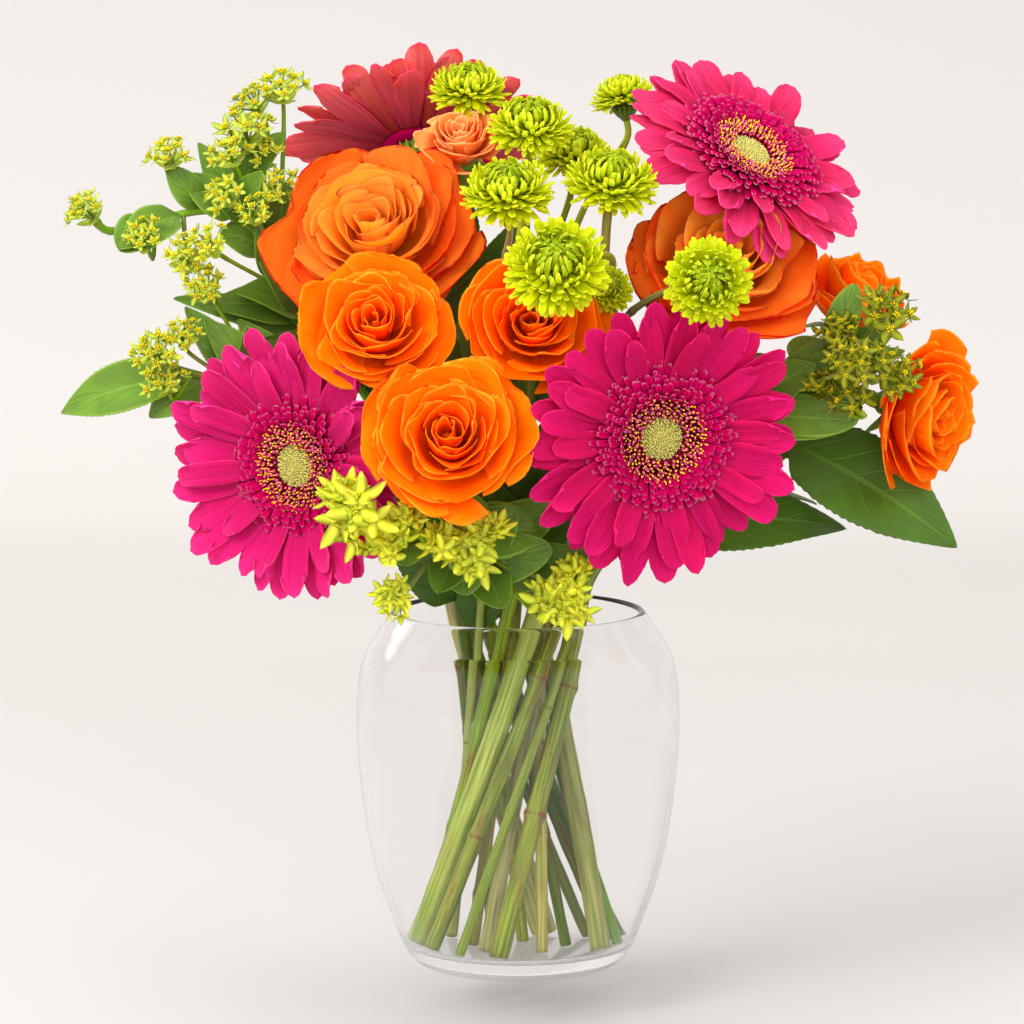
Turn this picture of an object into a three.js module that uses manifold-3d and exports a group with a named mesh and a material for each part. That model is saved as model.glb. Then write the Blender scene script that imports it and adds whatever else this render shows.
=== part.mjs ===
// A mixed bunch of pink gerberas, orange roses, green button chrysanthemums and thorow-wax in a clear
// glass vase of water. Millimetres, +Z up, origin at the centre of the vase's foot, front towards -Y.
import * as THREE from "three";
import { mergeVertices } from "three/addons/utils/BufferGeometryUtils.js";
import Module from "manifold-3d";

const wasm = await Module();
wasm.setup();

// ---------------------------------------------------------------- driving dimensions

const CLEARANCE = 0.35; // between pieces that rest on or in each other

const VASE = {
  // Outer radius against height, up the side from the foot to the shoulder.
  side: [[44.4, 0], [48.6, 4.5], [54.6, 19], [62, 41], [67.6, 74], [69.6, 104], [67.2, 130], [60.5, 143]],
  sideSteps: 7,
  height: 153,
  rimRadius: 53.6,
  wall: 2.6,
  floor: 8,
  floorRadius: 42,
  facets: 24,
};
const WATER_LEVEL = 140;

// The stems cross at the waist in two rings. Each ring leans the same way round, so that none meets another.
const WAIST_HEIGHT = 100;
const BORE_SIDES = 6;
const MOUTH_HEIGHT = 166;
const RINGS = {
  outer: { offset: 19, slope: 0.366 },
  inner: { offset: 8.5, slope: 0.18 },
};

// Heads: the middle of each bloom's base, the way it faces, and its radius.
const GERBERAS = {
  gerbera_front_left: { at: [-87, -58, 222], faces: [-0.54, -0.84, -0.06], radius: 58, cup: 17, seed: 1 },
  gerbera_front_right: { at: [55, -87, 237], faces: [0.28, -0.94, -0.16], radius: 60, cup: 11, seed: 2 },
  gerbera_right_top: { at: [93, -23, 343], faces: [0.44, -0.56, 0.7], radius: 56, cup: 4, seed: 3 },
  gerbera_back: { at: [-45, 68, 346], faces: [-0.1, 0.6, 0.79], radius: 58, cup: 10, seed: 4 },
};
const ROSES = {
  rose_large_left: { at: [-57, -18, 305], faces: [-0.15, -0.78, 0.61], radius: 46, height: 34, seed: 5 },
  rose_large_right: { at: [81, -38, 292], faces: [0.2, -0.75, 0.63], radius: 42, height: 34, seed: 6 },
  rose_spray_upper_left: { at: [-56, -76, 274], faces: [-0.1, -0.88, 0.46], radius: 31, height: 27, seed: 7 },
  rose_spray_upper_right: { at: [5, -72, 274], faces: [0.02, -0.9, 0.43], radius: 30, height: 27, seed: 8 },
  rose_spray_front: { at: [-28, -98, 232], faces: [0, -0.92, 0.38], radius: 36, height: 30, seed: 9 },
  rose_right: { at: [159, -15, 242], faces: [0.78, -0.6, -0.16], radius: 34, height: 27, seed: 10 },
  rose_right_back: { at: [139, 17, 273], faces: [0.42, -0.3, 0.85], radius: 27, height: 27, seed: 11 },
  rose_small_top: { at: [-24, 4, 345], faces: [-0.05, -0.62, 0.78], radius: 20, height: 19, seed: 12 },
};
const BUTTONS = {
  button_1: { at: [-21, 12, 370], faces: [0, -0.3, 0.95], radius: 17.5, seed: 13 },
  button_2: { at: [5, -41, 355], faces: [0, -0.4, 0.92], radius: 18, seed: 14 },
  button_3: { at: [-4, -76, 329], faces: [-0.05, -0.45, 0.89], radius: 19.5, seed: 15 },
  button_4: { at: [23, -6, 343], faces: [0.05, -0.35, 0.93], radius: 17, seed: 16 },
  button_5: { at: [37, -68, 333], faces: [0.08, -0.45, 0.89], radius: 19.5, seed: 17 },
  button_6: { at: [15, -111, 303], faces: [-0.02, -0.82, 0.57], radius: 21.5, seed: 18 },
  button_7: { at: [74, -114, 299], faces: [0.04, -0.97, 0.24], radius: 18, seed: 19 },
  button_8: { at: [35, -74, 293], faces: [0.3, -0.75, 0.58], radius: 11, seed: 20 },
  button_9: { at: [46, 31, 367], faces: [-0.1, 0.1, 0.99], radius: 15, seed: 21 },
};

// ---------------------------------------------------------------- small tools

const vec = (a) => new THREE.Vector3(...a);
const radians = THREE.MathUtils.degToRad;
const lerp = THREE.MathUtils.lerp;
const FULL_TURN = 2 * Math.PI;
const UP = new THREE.Vector3(0, 0, 1);

/** A repeatable draw from 0 to 1: the fraction of a large sine. */
function draw(seed, index) {
  const wave = Math.sin(seed * 12.9898 + index * 78.233) * 43758.5453;
  return wave - Math.floor(wave);
}

/** A repeatable draw from -1 to 1. */
const sway = (seed, index) => 2 * draw(seed, index) - 1;

/** The frame of a head: Z along the way it faces, X level. */
function headFrame({ at, faces }) {
  const z = vec(faces).normalize();
  const x = new THREE.Vector3(0, 0, 1).cross(z).normalize();
  const y = z.clone().cross(x);
  return new THREE.Matrix4().makeBasis(x, y, z).setPosition(...at);
}

/** The point at a distance behind a head's base, along its axis. */
function behind({ at, faces }, distance) {
  return vec(at).addScaledVector(vec(faces).normalize(), -distance).toArray();
}

function geometryFrom(points, faces) {
  const positions = new Float32Array(points.flatMap((p) => [p.x, p.y, p.z]));
  return new THREE.BufferGeometry()
    .setAttribute("position", new THREE.BufferAttribute(positions, 3))
    .setIndex(faces);
}

/** A closed geometry as a solid. */
function solid(geometry) {
  const bare = new THREE.BufferGeometry().setAttribute("position", geometry.getAttribute("position"));
  if (geometry.index) bare.setIndex(geometry.index);
  const merged = mergeVertices(bare, 1e-4);
  return new wasm.Manifold(
    new wasm.Mesh({
      numProp: 3,
      vertProperties: new Float32Array(merged.attributes.position.array),
      triVerts: new Uint32Array(merged.index.array),
    }),
  );
}

/** A solid as a geometry. */
function geometryOf(made) {
  const mesh = made.getMesh();
  const positions = new Float32Array(mesh.numVert * 3);
  for (let i = 0; i < mesh.numVert; i++) {
    positions.set(mesh.vertProperties.subarray(i * mesh.numProp, i * mesh.numProp + 3), i * 3);
  }
  return new THREE.BufferGeometry()
    .setAttribute("position", new THREE.BufferAttribute(positions, 3))
    .setIndex(new THREE.BufferAttribute(new Uint32Array(mesh.triVerts), 1));
}

/** All solids joined, by halves, so that each join stays small. */
function joined(solids) {
  if (solids.length === 1) return solids[0];
  const middle = Math.ceil(solids.length / 2);
  return joined(solids.slice(0, middle)).add(joined(solids.slice(middle)));
}

/** The largest body of a solid, without loose scraps. */
function mainBody(made) {
  return made.decompose().reduce((best, body) => (body.volume() > best.volume() ? body : best));
}

/** A body of revolution about Z, from a profile of [radius, height] that starts and ends on the axis. */
function turned(profile, facets) {
  const points = profile.map(([r, h]) => new THREE.Vector2(r, h));
  return new THREE.LatheGeometry(points, facets).rotateX(Math.PI / 2);
}

/** A tube of even radius along a path. */
function tube(path, radius, sides, steps) {
  const section = new THREE.Shape();
  section.moveTo(radius, 0);
  for (let i = 1; i < sides; i++) {
    const turn = (i / sides) * FULL_TURN;
    section.lineTo(radius * Math.cos(turn), radius * Math.sin(turn));
  }
  section.closePath();
  return new THREE.ExtrudeGeometry(section, { steps, bevelEnabled: false, extrudePath: path });
}

const smoothPath = (points) => new THREE.CatmullRomCurve3(points.map(vec), false, "centripetal");

/**
 * A slim blade along X: at each station [x, z, half width, edge lift] the section is a diamond, and the last
 * station is its point. Both faces have the same triangles.
 */
function blade(stations, halfThickness) {
  const points = [];
  const last = stations.length - 1;
  stations.slice(0, last).forEach(([x, z, half, lift]) => {
    points.push(
      new THREE.Vector3(x, -half, z + lift),
      new THREE.Vector3(x, 0, z - halfThickness),
      new THREE.Vector3(x, half, z + lift),
      new THREE.Vector3(x, 0, z + halfThickness),
    );
  });
  const [tipX, tipZ, , tipLift] = stations[last];
  points.push(new THREE.Vector3(tipX, 0, tipZ + tipLift));
  const faces = [0, 2, 1, 0, 3, 2];
  for (let i = 0; i < last - 1; i++) {
    for (let k = 0; k < 4; k++) {
      const a = i * 4 + k;
      const b = i * 4 + ((k + 1) % 4);
      faces.push(a, b, b + 4, a, b + 4, a + 4);
    }
  }
  const tip = last * 4;
  for (let k = 0; k < 4; k++) faces.push(tip - 4 + k, tip - 4 + ((k + 1) % 4), tip);
  return geometryFrom(points, faces);
}

/** A point at a radius, turn and height round Z. */
function around(radius, turn, height) {
  return new THREE.Vector3(radius * Math.cos(turn), radius * Math.sin(turn), height);
}

/** A mesh put together from rings of points round Z, from its bottom to its top. */
class RingMesh {
  points = [];
  faces = [];

  /** Adds points and gives their numbers. */
  ring(points) {
    const first = this.points.length;
    this.points.push(...points);
    return points.map((_, i) => first + i);
  }

  /** Closes the mesh to its bottom with a fan, or to its top when asked. */
  cap(ring, height, top = false) {
    const [middle] = this.ring([new THREE.Vector3(0, 0, height)]);
    ring.forEach((a, i) => {
      const b = ring[(i + 1) % ring.length];
      this.faces.push(...(top ? [a, b, middle] : [b, a, middle]));
    });
  }

  /** Joins a ring to the next one up. Either has as many points as the other, or twice as many. */
  band(lower, upper) {
    const count = Math.min(lower.length, upper.length);
    for (let k = 0; k < count; k++) {
      const next = (k + 1) % count;
      if (upper.length > lower.length) {
        const [a, b, c] = [upper[2 * k], upper[2 * k + 1], upper[(2 * k + 2) % upper.length]];
        this.faces.push(lower[k], b, a, lower[k], lower[next], b, b, lower[next], c);
      } else if (lower.length > upper.length) {
        const [a, b, c] = [lower[2 * k], lower[2 * k + 1], lower[(2 * k + 2) % lower.length]];
        this.faces.push(a, b, upper[k], b, upper[next], upper[k], b, c, upper[next]);
      } else {
        this.faces.push(lower[k], lower[next], upper[next], lower[k], upper[next], upper[k]);
      }
    }
  }

  geometry() {
    return geometryFrom(this.points, this.faces);
  }
}

/** A ring of equally turned points at one radius and height. */
function evenRing(count, radius, height, offset = 0) {
  return Array.from({ length: count }, (_, k) => around(radius, ((k + offset) / count) * FULL_TURN, height));
}

/**
 * A thin curved petal over the grid of surface(u, v), u from -1 to 1 and v from 0 to 1. Its edge is sharp and
 * its inner points stand half a thickness off both sides.
 */
function petal(surface, columns, rows, thickness) {
  const step = 1e-3;
  const points = [];
  const faces = [];
  const front = [];
  const back = [];
  for (let j = 0; j <= rows; j++) {
    for (let i = 0; i <= columns; i++) {
      const u = (2 * i) / columns - 1;
      const v = j / rows;
      const p = surface(u, v);
      front.push(points.length);
      if (i === 0 || i === columns || j === 0 || j === rows) {
        back.push(points.length);
        points.push(p);
      } else {
        const across = surface(u + step, v).sub(p);
        const along = surface(u, v + step).sub(p);
        const offset = across.cross(along).normalize().multiplyScalar(thickness / 2);
        back.push(points.length + 1);
        points.push(p.clone().add(offset), p.clone().sub(offset));
      }
    }
  }
  for (let j = 0; j < rows; j++) {
    for (let i = 0; i < columns; i++) {
      const a = j * (columns + 1) + i;
      const b = a + 1;
      const c = b + columns + 1;
      const d = a + columns + 1;
      faces.push(front[a], front[b], front[c], front[a], front[c], front[d]);
      faces.push(back[a], back[c], back[b], back[a], back[d], back[c]);
    }
  }
  return geometryFrom(points, faces);
}

// ---------------------------------------------------------------- finishes

const finish = (color, roughness = 0.6) => new THREE.MeshStandardMaterial({ color, roughness, metalness: 0 });
const clear = (color, roughness, opacity) =>
  new THREE.MeshStandardMaterial({ color, roughness, metalness: 0, transparent: true, opacity });

const FINISH = {
  glass: () => clear(0xe9eeec, 0.05, 0.3),
  water: () => clear(0xe4ebe8, 0.02, 0.25),
  gerberaPetal: () => finish(0xd9126e),
  gerberaDisc: () => finish(0xa9a04a, 0.9),
  orangePetal: () => finish(0xff6f10),
  twoTonePetal: () => finish(0xf5702c),
  buttonPetal: () => finish(0xb4cc1c),
  thorowWax: () => finish(0xa8b92a),
  stem: () => finish(0x7c9a3c),
};

// ---------------------------------------------------------------- vase and water

/** The outer side of the vase as [radius, height], from the foot to the rim, moved inwards by an inset. */
function vaseSide(inset, steps) {
  const line = [...VASE.side, [VASE.rimRadius, VASE.height]];
  const curve = new THREE.SplineCurve(line.map(([r, h]) => new THREE.Vector2(r, h)));
  const side = [];
  for (let i = 0; i <= steps; i++) {
    const along = curve.getTangent(i / steps);
    const p = curve.getPoint(i / steps);
    side.push([p.x - inset * along.y, p.y + inset * along.x]);
  }
  return side;
}

const FLOOR_FILLET = 1.8;

function vaseSolid() {
  const outside = vaseSide(0, VASE.sideSteps);
  const inside = vaseSide(VASE.wall, VASE.sideSteps)
    .filter(([, h]) => h > VASE.floor + 2 * FLOOR_FILLET)
    .reverse();
  const floor = [
    [VASE.floorRadius + 2 * FLOOR_FILLET, VASE.floor + FLOOR_FILLET],
    [VASE.floorRadius, VASE.floor],
    [0, VASE.floor],
  ];
  return solid(turned([[0, 0], ...outside, ...inside, ...floor], VASE.facets));
}

/** The water up to its level, with a plain hole round each stem. */
function waterSolid(holes) {
  const inset = VASE.wall + CLEARANCE;
  const bottom = [
    [0, VASE.floor + CLEARANCE],
    [VASE.floorRadius - CLEARANCE, VASE.floor + CLEARANCE],
    [VASE.floorRadius + 2 * FLOOR_FILLET - CLEARANCE, VASE.floor + FLOOR_FILLET + CLEARANCE],
  ];
  const side = vaseSide(inset, VASE.sideSteps).filter(([, h]) => h > VASE.floor + 2 * FLOOR_FILLET);
  const below = side.filter(([, h]) => h < WATER_LEVEL);
  const [innerRadius, innerHeight] = below[below.length - 1];
  const [outerRadius, outerHeight] = side[below.length];
  const share = (WATER_LEVEL - innerHeight) / (outerHeight - innerHeight);
  const edge = [lerp(innerRadius, outerRadius, share), WATER_LEVEL];
  const body = solid(turned([...bottom, ...below, edge, [0, WATER_LEVEL]], VASE.facets));
  return mainBody(body.subtract(joined(holes)));
}

// ---------------------------------------------------------------- gerbera

const GERBERA = {
  rays: 22, // every second one stands in the upper layer
  rootRadius: 16,
  rootHeight: 2.4,
  coreTop: 5,
  discRadius: 13.4,
  discFacets: 14,
  cupRadius: 10.5,
  cupDepth: 15,
  petalHalf: 6,
  petalThickness: 1.1,
};
const RAY_LAYERS = [
  { reach: 1, height: 1.7, cup: 0 },
  { reach: 0.9, height: 3.1, cup: 6 },
];
// Share of the reach, share of the height, share of the half width and edge lift, along a ray petal.
const RAY_STATIONS = [[0.55, 0.5, 0.98, 0.5], [0.87, 0.86, 0.84, 0.6]];
const FLORETS = [
  { reach: 31, height: 9 },
  { reach: 24, height: 13 },
];

/**
 * The petals of a gerbera as one body: a thick core, ray petals in two layers round its side, and a crown of
 * inner florets, long low ones and short high ones in turn, round the seat of the disc.
 */
function gerberaPetals({ radius, cup, seed }) {
  const { rays, rootRadius, rootHeight, coreTop, discRadius, cupRadius } = GERBERA;
  const mesh = new RingMesh();
  const edges = mesh.ring(evenRing(rays, rootRadius, rootHeight));
  const under = [];
  const over = [];
  for (let k = 0; k < rays; k++) {
    const layer = RAY_LAYERS[k % 2];
    const turn = ((k + 0.5 + 0.1 * sway(seed, k)) / rays) * FULL_TURN;
    const reach = radius * layer.reach * (0.95 + 0.06 * draw(seed, k + 30));
    const half = GERBERA.petalHalf * (0.92 + 0.14 * draw(seed, k + 60));
    const angle = cup + layer.cup + 2.5 * sway(seed, k + 90);
    const rise = (reach - rootRadius) * Math.tan(radians(angle));
    const middle = ((k + 0.5) / rays) * FULL_TURN;
    const [below, above] = mesh.ring([
      around(rootRadius + 1, middle, layer.height - 0.7),
      around(rootRadius + 1, middle, layer.height + 0.7),
    ]);
    under.push(below);
    over.push(above);
    let from = [edges[k], below, edges[(k + 1) % rays], above];
    for (const [along, up, width, lift] of RAY_STATIONS) {
      const x = reach * along;
      const z = layer.height + rise * up;
      const t = GERBERA.petalThickness / 2;
      const corners = [[-half * width, z + lift], [0, z - t], [half * width, z + lift], [0, z + t]];
      const to = mesh.ring(corners.map(([y, h]) => new THREE.Vector3(x, y, h).applyAxisAngle(UP, turn)));
      for (let i = 0; i < 4; i++) {
        const j = (i + 1) % 4;
        mesh.faces.push(from[i], from[j], to[j], from[i], to[j], to[i]);
      }
      from = to;
    }
    const [tip] = mesh.ring([around(reach, turn, layer.height + rise + 0.2)]);
    for (let i = 0; i < 4; i++) mesh.faces.push(from[i], from[(i + 1) % 4], tip);
  }
  const woven = (centres) => edges.flatMap((edge, k) => [edge, centres[k]]);
  const seat = mesh.ring(evenRing(rays, cupRadius, 0));
  mesh.cap(seat, 0);
  mesh.band(seat, woven(under));

  const throat = mesh.ring(evenRing(rays, discRadius + 2.2, 3.9));
  const crown = mesh.ring(
    Array.from({ length: 2 * rays }, (_, i) => {
      const turn = (i / (2 * rays)) * FULL_TURN;
      if (i % 2 === 0) return around(discRadius + 2.8, turn, 4.5);
      const floret = FLORETS[((i - 1) / 2) % 2];
      return around(floret.reach + 1.5 * sway(seed, i + 120), turn, floret.height + sway(seed, i + 170));
    }),
  );
  const rim = mesh.ring(evenRing(rays, discRadius + 0.8, coreTop));
  mesh.band(woven(over), throat);
  mesh.band(throat, crown);
  mesh.band(crown, rim);
  mesh.cap(rim, coreTop, true);
  return solid(mesh.geometry());
}

/** The disc: a ring of open florets in relief round a low domed eye. */
function gerberaDisc() {
  const { discRadius, discFacets, coreTop } = GERBERA;
  const base = coreTop + CLEARANCE;
  // Radius, height and relief of each ring of points, from the rim to the eye.
  const levels = [
    [discRadius, 0, 0],
    [discRadius - 1.6, 3.2, 0.8],
    [discRadius - 4.8, 3.6, 0.8],
    [7, 2.2, 0],
    [4.6, 4, 0],
  ];
  const mesh = new RingMesh();
  const rings = levels.map(([radius, height, relief], k) => {
    const level = evenRing(discFacets, radius, base + height, 0.5 * (k % 2));
    return mesh.ring(level.map((p, i) => p.setZ(p.z + relief * (i % 2 ? 1 : -1))));
  });
  mesh.cap(rings[0], base);
  rings.slice(1).forEach((ring, k) => mesh.band(rings[k], ring));
  mesh.cap(rings[rings.length - 1], base + 4.5, true);
  return solid(mesh.geometry());
}

// ---------------------------------------------------------------- rose

const ROSE = { coreRadius: 8, cupRadius: 5.5, cupDepth: 8, petalThickness: 1.3, goldenTurn: 137.5 };
const rosePetalCount = (radius) => Math.round(4 + 0.15 * radius);

/**
 * Petal number i of a rose. Its rim lies on a circle that grows with i, its height falls outwards, and it
 * wraps the axis over an angle that shrinks outwards. The outer petals roll back at the rim.
 */
function rosePetalSurface({ radius, height, seed }, i) {
  const share = (i + 0.6) / rosePetalCount(radius);
  const rim = radius * (0.1 + 0.9 * share ** 0.85) * (0.98 + 0.04 * draw(seed, i));
  const top = height * (1 - 0.5 * share * share);
  const wrap = radians(lerp(88, 48, share));
  const turn = i * radians(ROSE.goldenTurn) + 0.2 * sway(seed, i + 60);
  return (u, v) => {
    const along = v * (1 - 0.16 * u * u);
    const outwards = lerp(2, rim, along ** lerp(0.5, 0.72, share));
    const angle = turn + wrap * u * (0.45 + 0.55 * Math.sqrt(v));
    const roll = 0.2 * share * share * top * along ** 6;
    const up = 1 + top * along ** lerp(0.95, 1.25, share) - roll;
    return new THREE.Vector3(outwards * Math.cos(angle), outwards * Math.sin(angle), up);
  };
}

function roseBloom(head) {
  const { radius, height } = head;
  const count = rosePetalCount(radius);
  const core = turned(
    [[0, 0], [ROSE.cupRadius, 0], [ROSE.coreRadius, 3.5], [radius * 0.14, height * 0.5], [0, height * 0.78]],
    6,
  );
  const petals = Array.from({ length: count }, (_, i) => {
    const columns = i < 3 ? 4 : 3;
    return solid(petal(rosePetalSurface(head, i), columns, 2, ROSE.petalThickness));
  });
  return mainBody(joined([solid(core), ...petals]));
}

// ---------------------------------------------------------------- button chrysanthemum

const BUTTON = { petalsPerRow: 8, cupRadius: 4.5, cupDepth: 4.5, lift: 0.26, valley: 0.6 };
// Elevation in degrees and reach of each row of petals, from the lowest.
const BUTTON_ROWS = [[-8, 1], [20, 0.98], [46, 0.92], [70, 0.86]];

/** A button bloom as one body: rows of petals out of a small core, each row between the last one's. */
function buttonBloom({ radius, seed }) {
  const { petalsPerRow, cupRadius, lift, valley } = BUTTON;
  const mesh = new RingMesh();
  const point = (reach, elevation, turn) => {
    const e = radians(elevation);
    return around(reach * Math.cos(e), turn, radius * lift + reach * Math.sin(e));
  };
  const count = 2 * petalsPerRow;
  let below = mesh.ring(evenRing(petalsPerRow, cupRadius, 0));
  mesh.cap(below, 0);
  BUTTON_ROWS.forEach(([elevation, reach], l) => {
    const [nextElevation] = BUTTON_ROWS[l + 1] ?? [90];
    const row = Array.from({ length: count }, (_, i) => {
      const turn = ((i + l) / count) * FULL_TURN;
      if (i % 2 === 0) return point(radius * reach * (valley + 0.06), elevation, turn);
      return point(radius * reach * (0.96 + 0.06 * draw(seed, 30 * l + i)), elevation + 6, turn);
    });
    const gap = Array.from({ length: petalsPerRow }, (_, k) =>
      point(radius * valley, lerp(elevation, nextElevation, 0.5), ((2 * k + l + 0.5) / count) * FULL_TURN));
    const petals = mesh.ring(row);
    mesh.band(below, petals);
    below = mesh.ring(gap);
    mesh.band(petals, below);
  });
  mesh.cap(below, radius * (lift + valley + 0.05), true);
  return solid(mesh.geometry());
}

// ---------------------------------------------------------------- leaves and thorow-wax

const POINTED_LEAF = [[-0.04, 0.08], [0.2, 0.76], [0.48, 1], [0.8, 0.5]];
const ROUND_LEAF = [[-0.06, 0.12], [0.2, 0.76], [0.5, 1], [0.8, 0.72]];

/** A leaf from root to tip that faces a given way, arched along its rib and folded up a little beside it. */
function leaf({ root, tip, faces, half, outline = POINTED_LEAF }) {
  const from = vec(root);
  const x = vec(tip).sub(from);
  const length = x.length();
  x.normalize();
  const z = vec(faces).addScaledVector(x, -vec(faces).dot(x)).normalize();
  const y = z.clone().cross(x);
  const stations = outline.map(([share, width]) =>
    [share * length, 0.3 * length * share * (1 - share), half * width, 0.14 * half * width]);
  stations.push([length, 0, 0, 0]);
  const frame = new THREE.Matrix4().makeBasis(x, y, z).setPosition(from);
  return solid(blade(stations, 0.5).applyMatrix4(frame));
}

const UMBEL = { stars: 3, starSize: 0.74, neck: 9, twigRadius: 1.2 };

/** A five-pointed cup of bracts round its florets, drawn out below into its stalk. */
function bractStar(root, at, radius, turn) {
  const axis = vec(at).sub(vec(root));
  const mesh = new RingMesh();
  const rim = mesh.ring(
    Array.from({ length: 10 }, (_, i) =>
      around(radius * (i % 2 ? 1 : 0.5), turn + (i / 10) * FULL_TURN, radius * (i % 2 ? 0.34 : 0.02))),
  );
  const [foot, heart] = mesh.ring([around(0, 0, -axis.length()), around(0, 0, radius * 0.4)]);
  for (let k = 0; k < 5; k++) {
    const [a, tip, b] = [rim[2 * k], rim[2 * k + 1], rim[(2 * k + 2) % 10]];
    mesh.faces.push(b, a, foot, a, b, tip, a, tip, heart, tip, b, heart);
  }
  return solid(mesh.geometry().applyMatrix4(headFrame({ at, faces: axis.toArray() })));
}

/** An umbel at the end of a twig: three bract stars on short stalks from one point inside the twig. */
function umbel({ at, faces, size }, seed, root) {
  const frame = headFrame({ at, faces });
  return Array.from({ length: UMBEL.stars }, (_, i) => {
    const turn = (i / UMBEL.stars) * FULL_TURN + 2 * draw(seed, i);
    const out = around(size, turn, size * lerp(0.6, 1.1, draw(seed, i + 5)));
    return bractStar(root, out.applyMatrix4(frame).toArray(), size * UMBEL.starSize, 3 * draw(seed, i + 9));
  });
}

// ---------------------------------------------------------------- stems

/** The green cup under a bloom, with five pointed sepals round it when asked. */
function flowerCup(head, { cupRadius, cupDepth }, stemRadius, hasSepals) {
  const mesh = new RingMesh();
  const count = hasSepals ? 5 : 6;
  const bottom = mesh.ring(evenRing(count, stemRadius, -cupDepth - 2));
  const side = hasSepals
    ? Array.from({ length: 2 * count }, (_, i) =>
        around(i % 2 ? cupRadius + 10 : cupRadius, (i / (2 * count)) * FULL_TURN, i % 2 ? -cupDepth : -3.2))
    : evenRing(count, cupRadius * 0.96, -cupDepth * 0.5);
  const middle = mesh.ring(side);
  const top = mesh.ring(evenRing(count, cupRadius, -CLEARANCE));
  mesh.cap(bottom, -cupDepth - 2);
  mesh.band(bottom, middle);
  mesh.band(middle, top);
  mesh.cap(top, -CLEARANCE, true);
  return solid(mesh.geometry().rotateZ(head.seed).applyMatrix4(headFrame(head)));
}

const KINDS = [
  { heads: GERBERAS, form: GERBERA, hasSepals: false, neck: 34 },
  { heads: ROSES, form: ROSE, hasSepals: true, neck: 20 },
  { heads: BUTTONS, form: BUTTON, hasSepals: false, neck: 13 },
];

/** The last points of a stem under a head, and its cup. */
function headEnd(name, stemRadius) {
  const kind = KINDS.find(({ heads }) => name in heads);
  const head = kind.heads[name];
  return {
    points: [behind(head, kind.neck), behind(head, kind.form.cupDepth)],
    cup: flowerCup(head, kind.form, stemRadius, kind.hasSepals),
  };
}

/** The point of a stem's straight lower run at a height. */
function lowerPoint({ heading, ring }, z) {
  const { offset, slope } = RINGS[ring];
  const turn = radians(heading);
  const along = slope * (z - WAIST_HEIGHT);
  const x = offset * Math.sin(turn) + along * Math.cos(turn);
  const y = -offset * Math.cos(turn) + along * Math.sin(turn);
  return [x, y, z];
}

// Each stem with its lower run, the points it passes above the mouth, the head it carries, and its branches.
// A branch leaves the main stem at a share of its length. All points are placed by hand.
const STEMS = {
  gerbera_front_left_stem: {
    ring: "outer", heading: 226, radius: 4.4, via: [[-50, -20, 198]], head: "gerbera_front_left",
  },
  gerbera_front_right_stem: {
    ring: "outer", heading: 330, radius: 4.4, via: [[30, -42, 205]], head: "gerbera_front_right",
  },
  gerbera_right_top_stem: {
    ring: "inner", heading: 21, radius: 3, via: [[32, -8, 230], [62, -8, 285]], head: "gerbera_right_top",
  },
  gerbera_back_stem: {
    ring: "outer", heading: 120, radius: 4, via: [[-14, 36, 240]], head: "gerbera_back",
  },
  rose_large_left_stem: {
    ring: "outer", heading: 174, radius: 4, via: [[-38, 8, 222]], head: "rose_large_left",
    leaves: [
      { share: 0.66, tip: [-58, 66, 262], half: 14, faces: [0, 0.4, 0.8] },
      { share: 0.78, tip: [-88, 40, 306], half: 13, faces: [-0.3, 0.5, 0.8] },
    ],
  },
  rose_large_right_stem: {
    ring: "outer", heading: 356, radius: 3, via: [[48, -16, 220]], head: "rose_large_right",
    leaves: [
      { share: 0.66, tip: [92, 14, 240], half: 15, faces: [0.3, 0.2, 0.9] },
      { share: 0.8, tip: [104, -46, 258], half: 11, faces: [0.1, -0.9, 0.4] },
    ],
  },
  rose_spray_left_stem: {
    ring: "outer", heading: 252, radius: 2.8, via: [[-26, -34, 205]], head: "rose_spray_front",
    branches: [{ share: 0.6, via: [[-36, -40, 240]], head: "rose_spray_upper_left", radius: 1.8 }],
  },
  rose_spray_right_stem: {
    ring: "outer", heading: 304, radius: 2.8, via: [[4, -38, 225]], head: "rose_spray_upper_right",
  },
  rose_right_stem: {
    ring: "outer", heading: 48, radius: 3.6, via: [[60, 6, 200], [104, 4, 224]], head: "rose_right",
    branches: [{ share: 0.66, via: [[110, 22, 240]], head: "rose_right_back", radius: 1.9 }],
    leaves: [
      { share: 0.84, tip: [186, -20, 183], half: 20, faces: [-0.1, -0.85, 0.5] },
      { share: 0.62, tip: [132, 44, 196], half: 16, faces: [0, -0.3, 0.95] },
    ],
  },
  rose_small_top_stem: {
    ring: "inner", heading: 165, radius: 2, via: [[-18, 16, 230], [-22, 20, 290]], head: "rose_small_top",
  },
  button_back_stem: {
    ring: "inner", heading: 93, radius: 2.2,
    via: [[6, 20, 230], [2, 28, 300], [-16, 28, 340]], head: "button_1",
    branches: [
      { share: 0.72, via: [[18, 6, 316]], head: "button_4", radius: 1.5 },
      { share: 0.7, via: [[32, 34, 330]], head: "button_9", radius: 1.5 },
    ],
  },
  button_left_stem: {
    ring: "inner", heading: 237, radius: 2.2, via: [[-12, -8, 230], [2, -28, 320]], head: "button_2",
    branches: [{ share: 0.76, via: [[-6, -44, 302]], head: "button_3", radius: 1.5 }],
  },
  button_right_stem: {
    ring: "inner", heading: 309, radius: 2.2, via: [[16, -26, 230], [33, -44, 285]], head: "button_5",
    branches: [
      { share: 0.84, via: [[38, -70, 306], [26, -96, 307]], head: "button_6", radius: 1.5 },
      { share: 0.76, via: [[48, -62, 286], [66, -88, 296]], head: "button_7", radius: 1.5 },
      { share: 0.8, via: [], head: "button_8", radius: 1.2 },
    ],
  },
};

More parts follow.
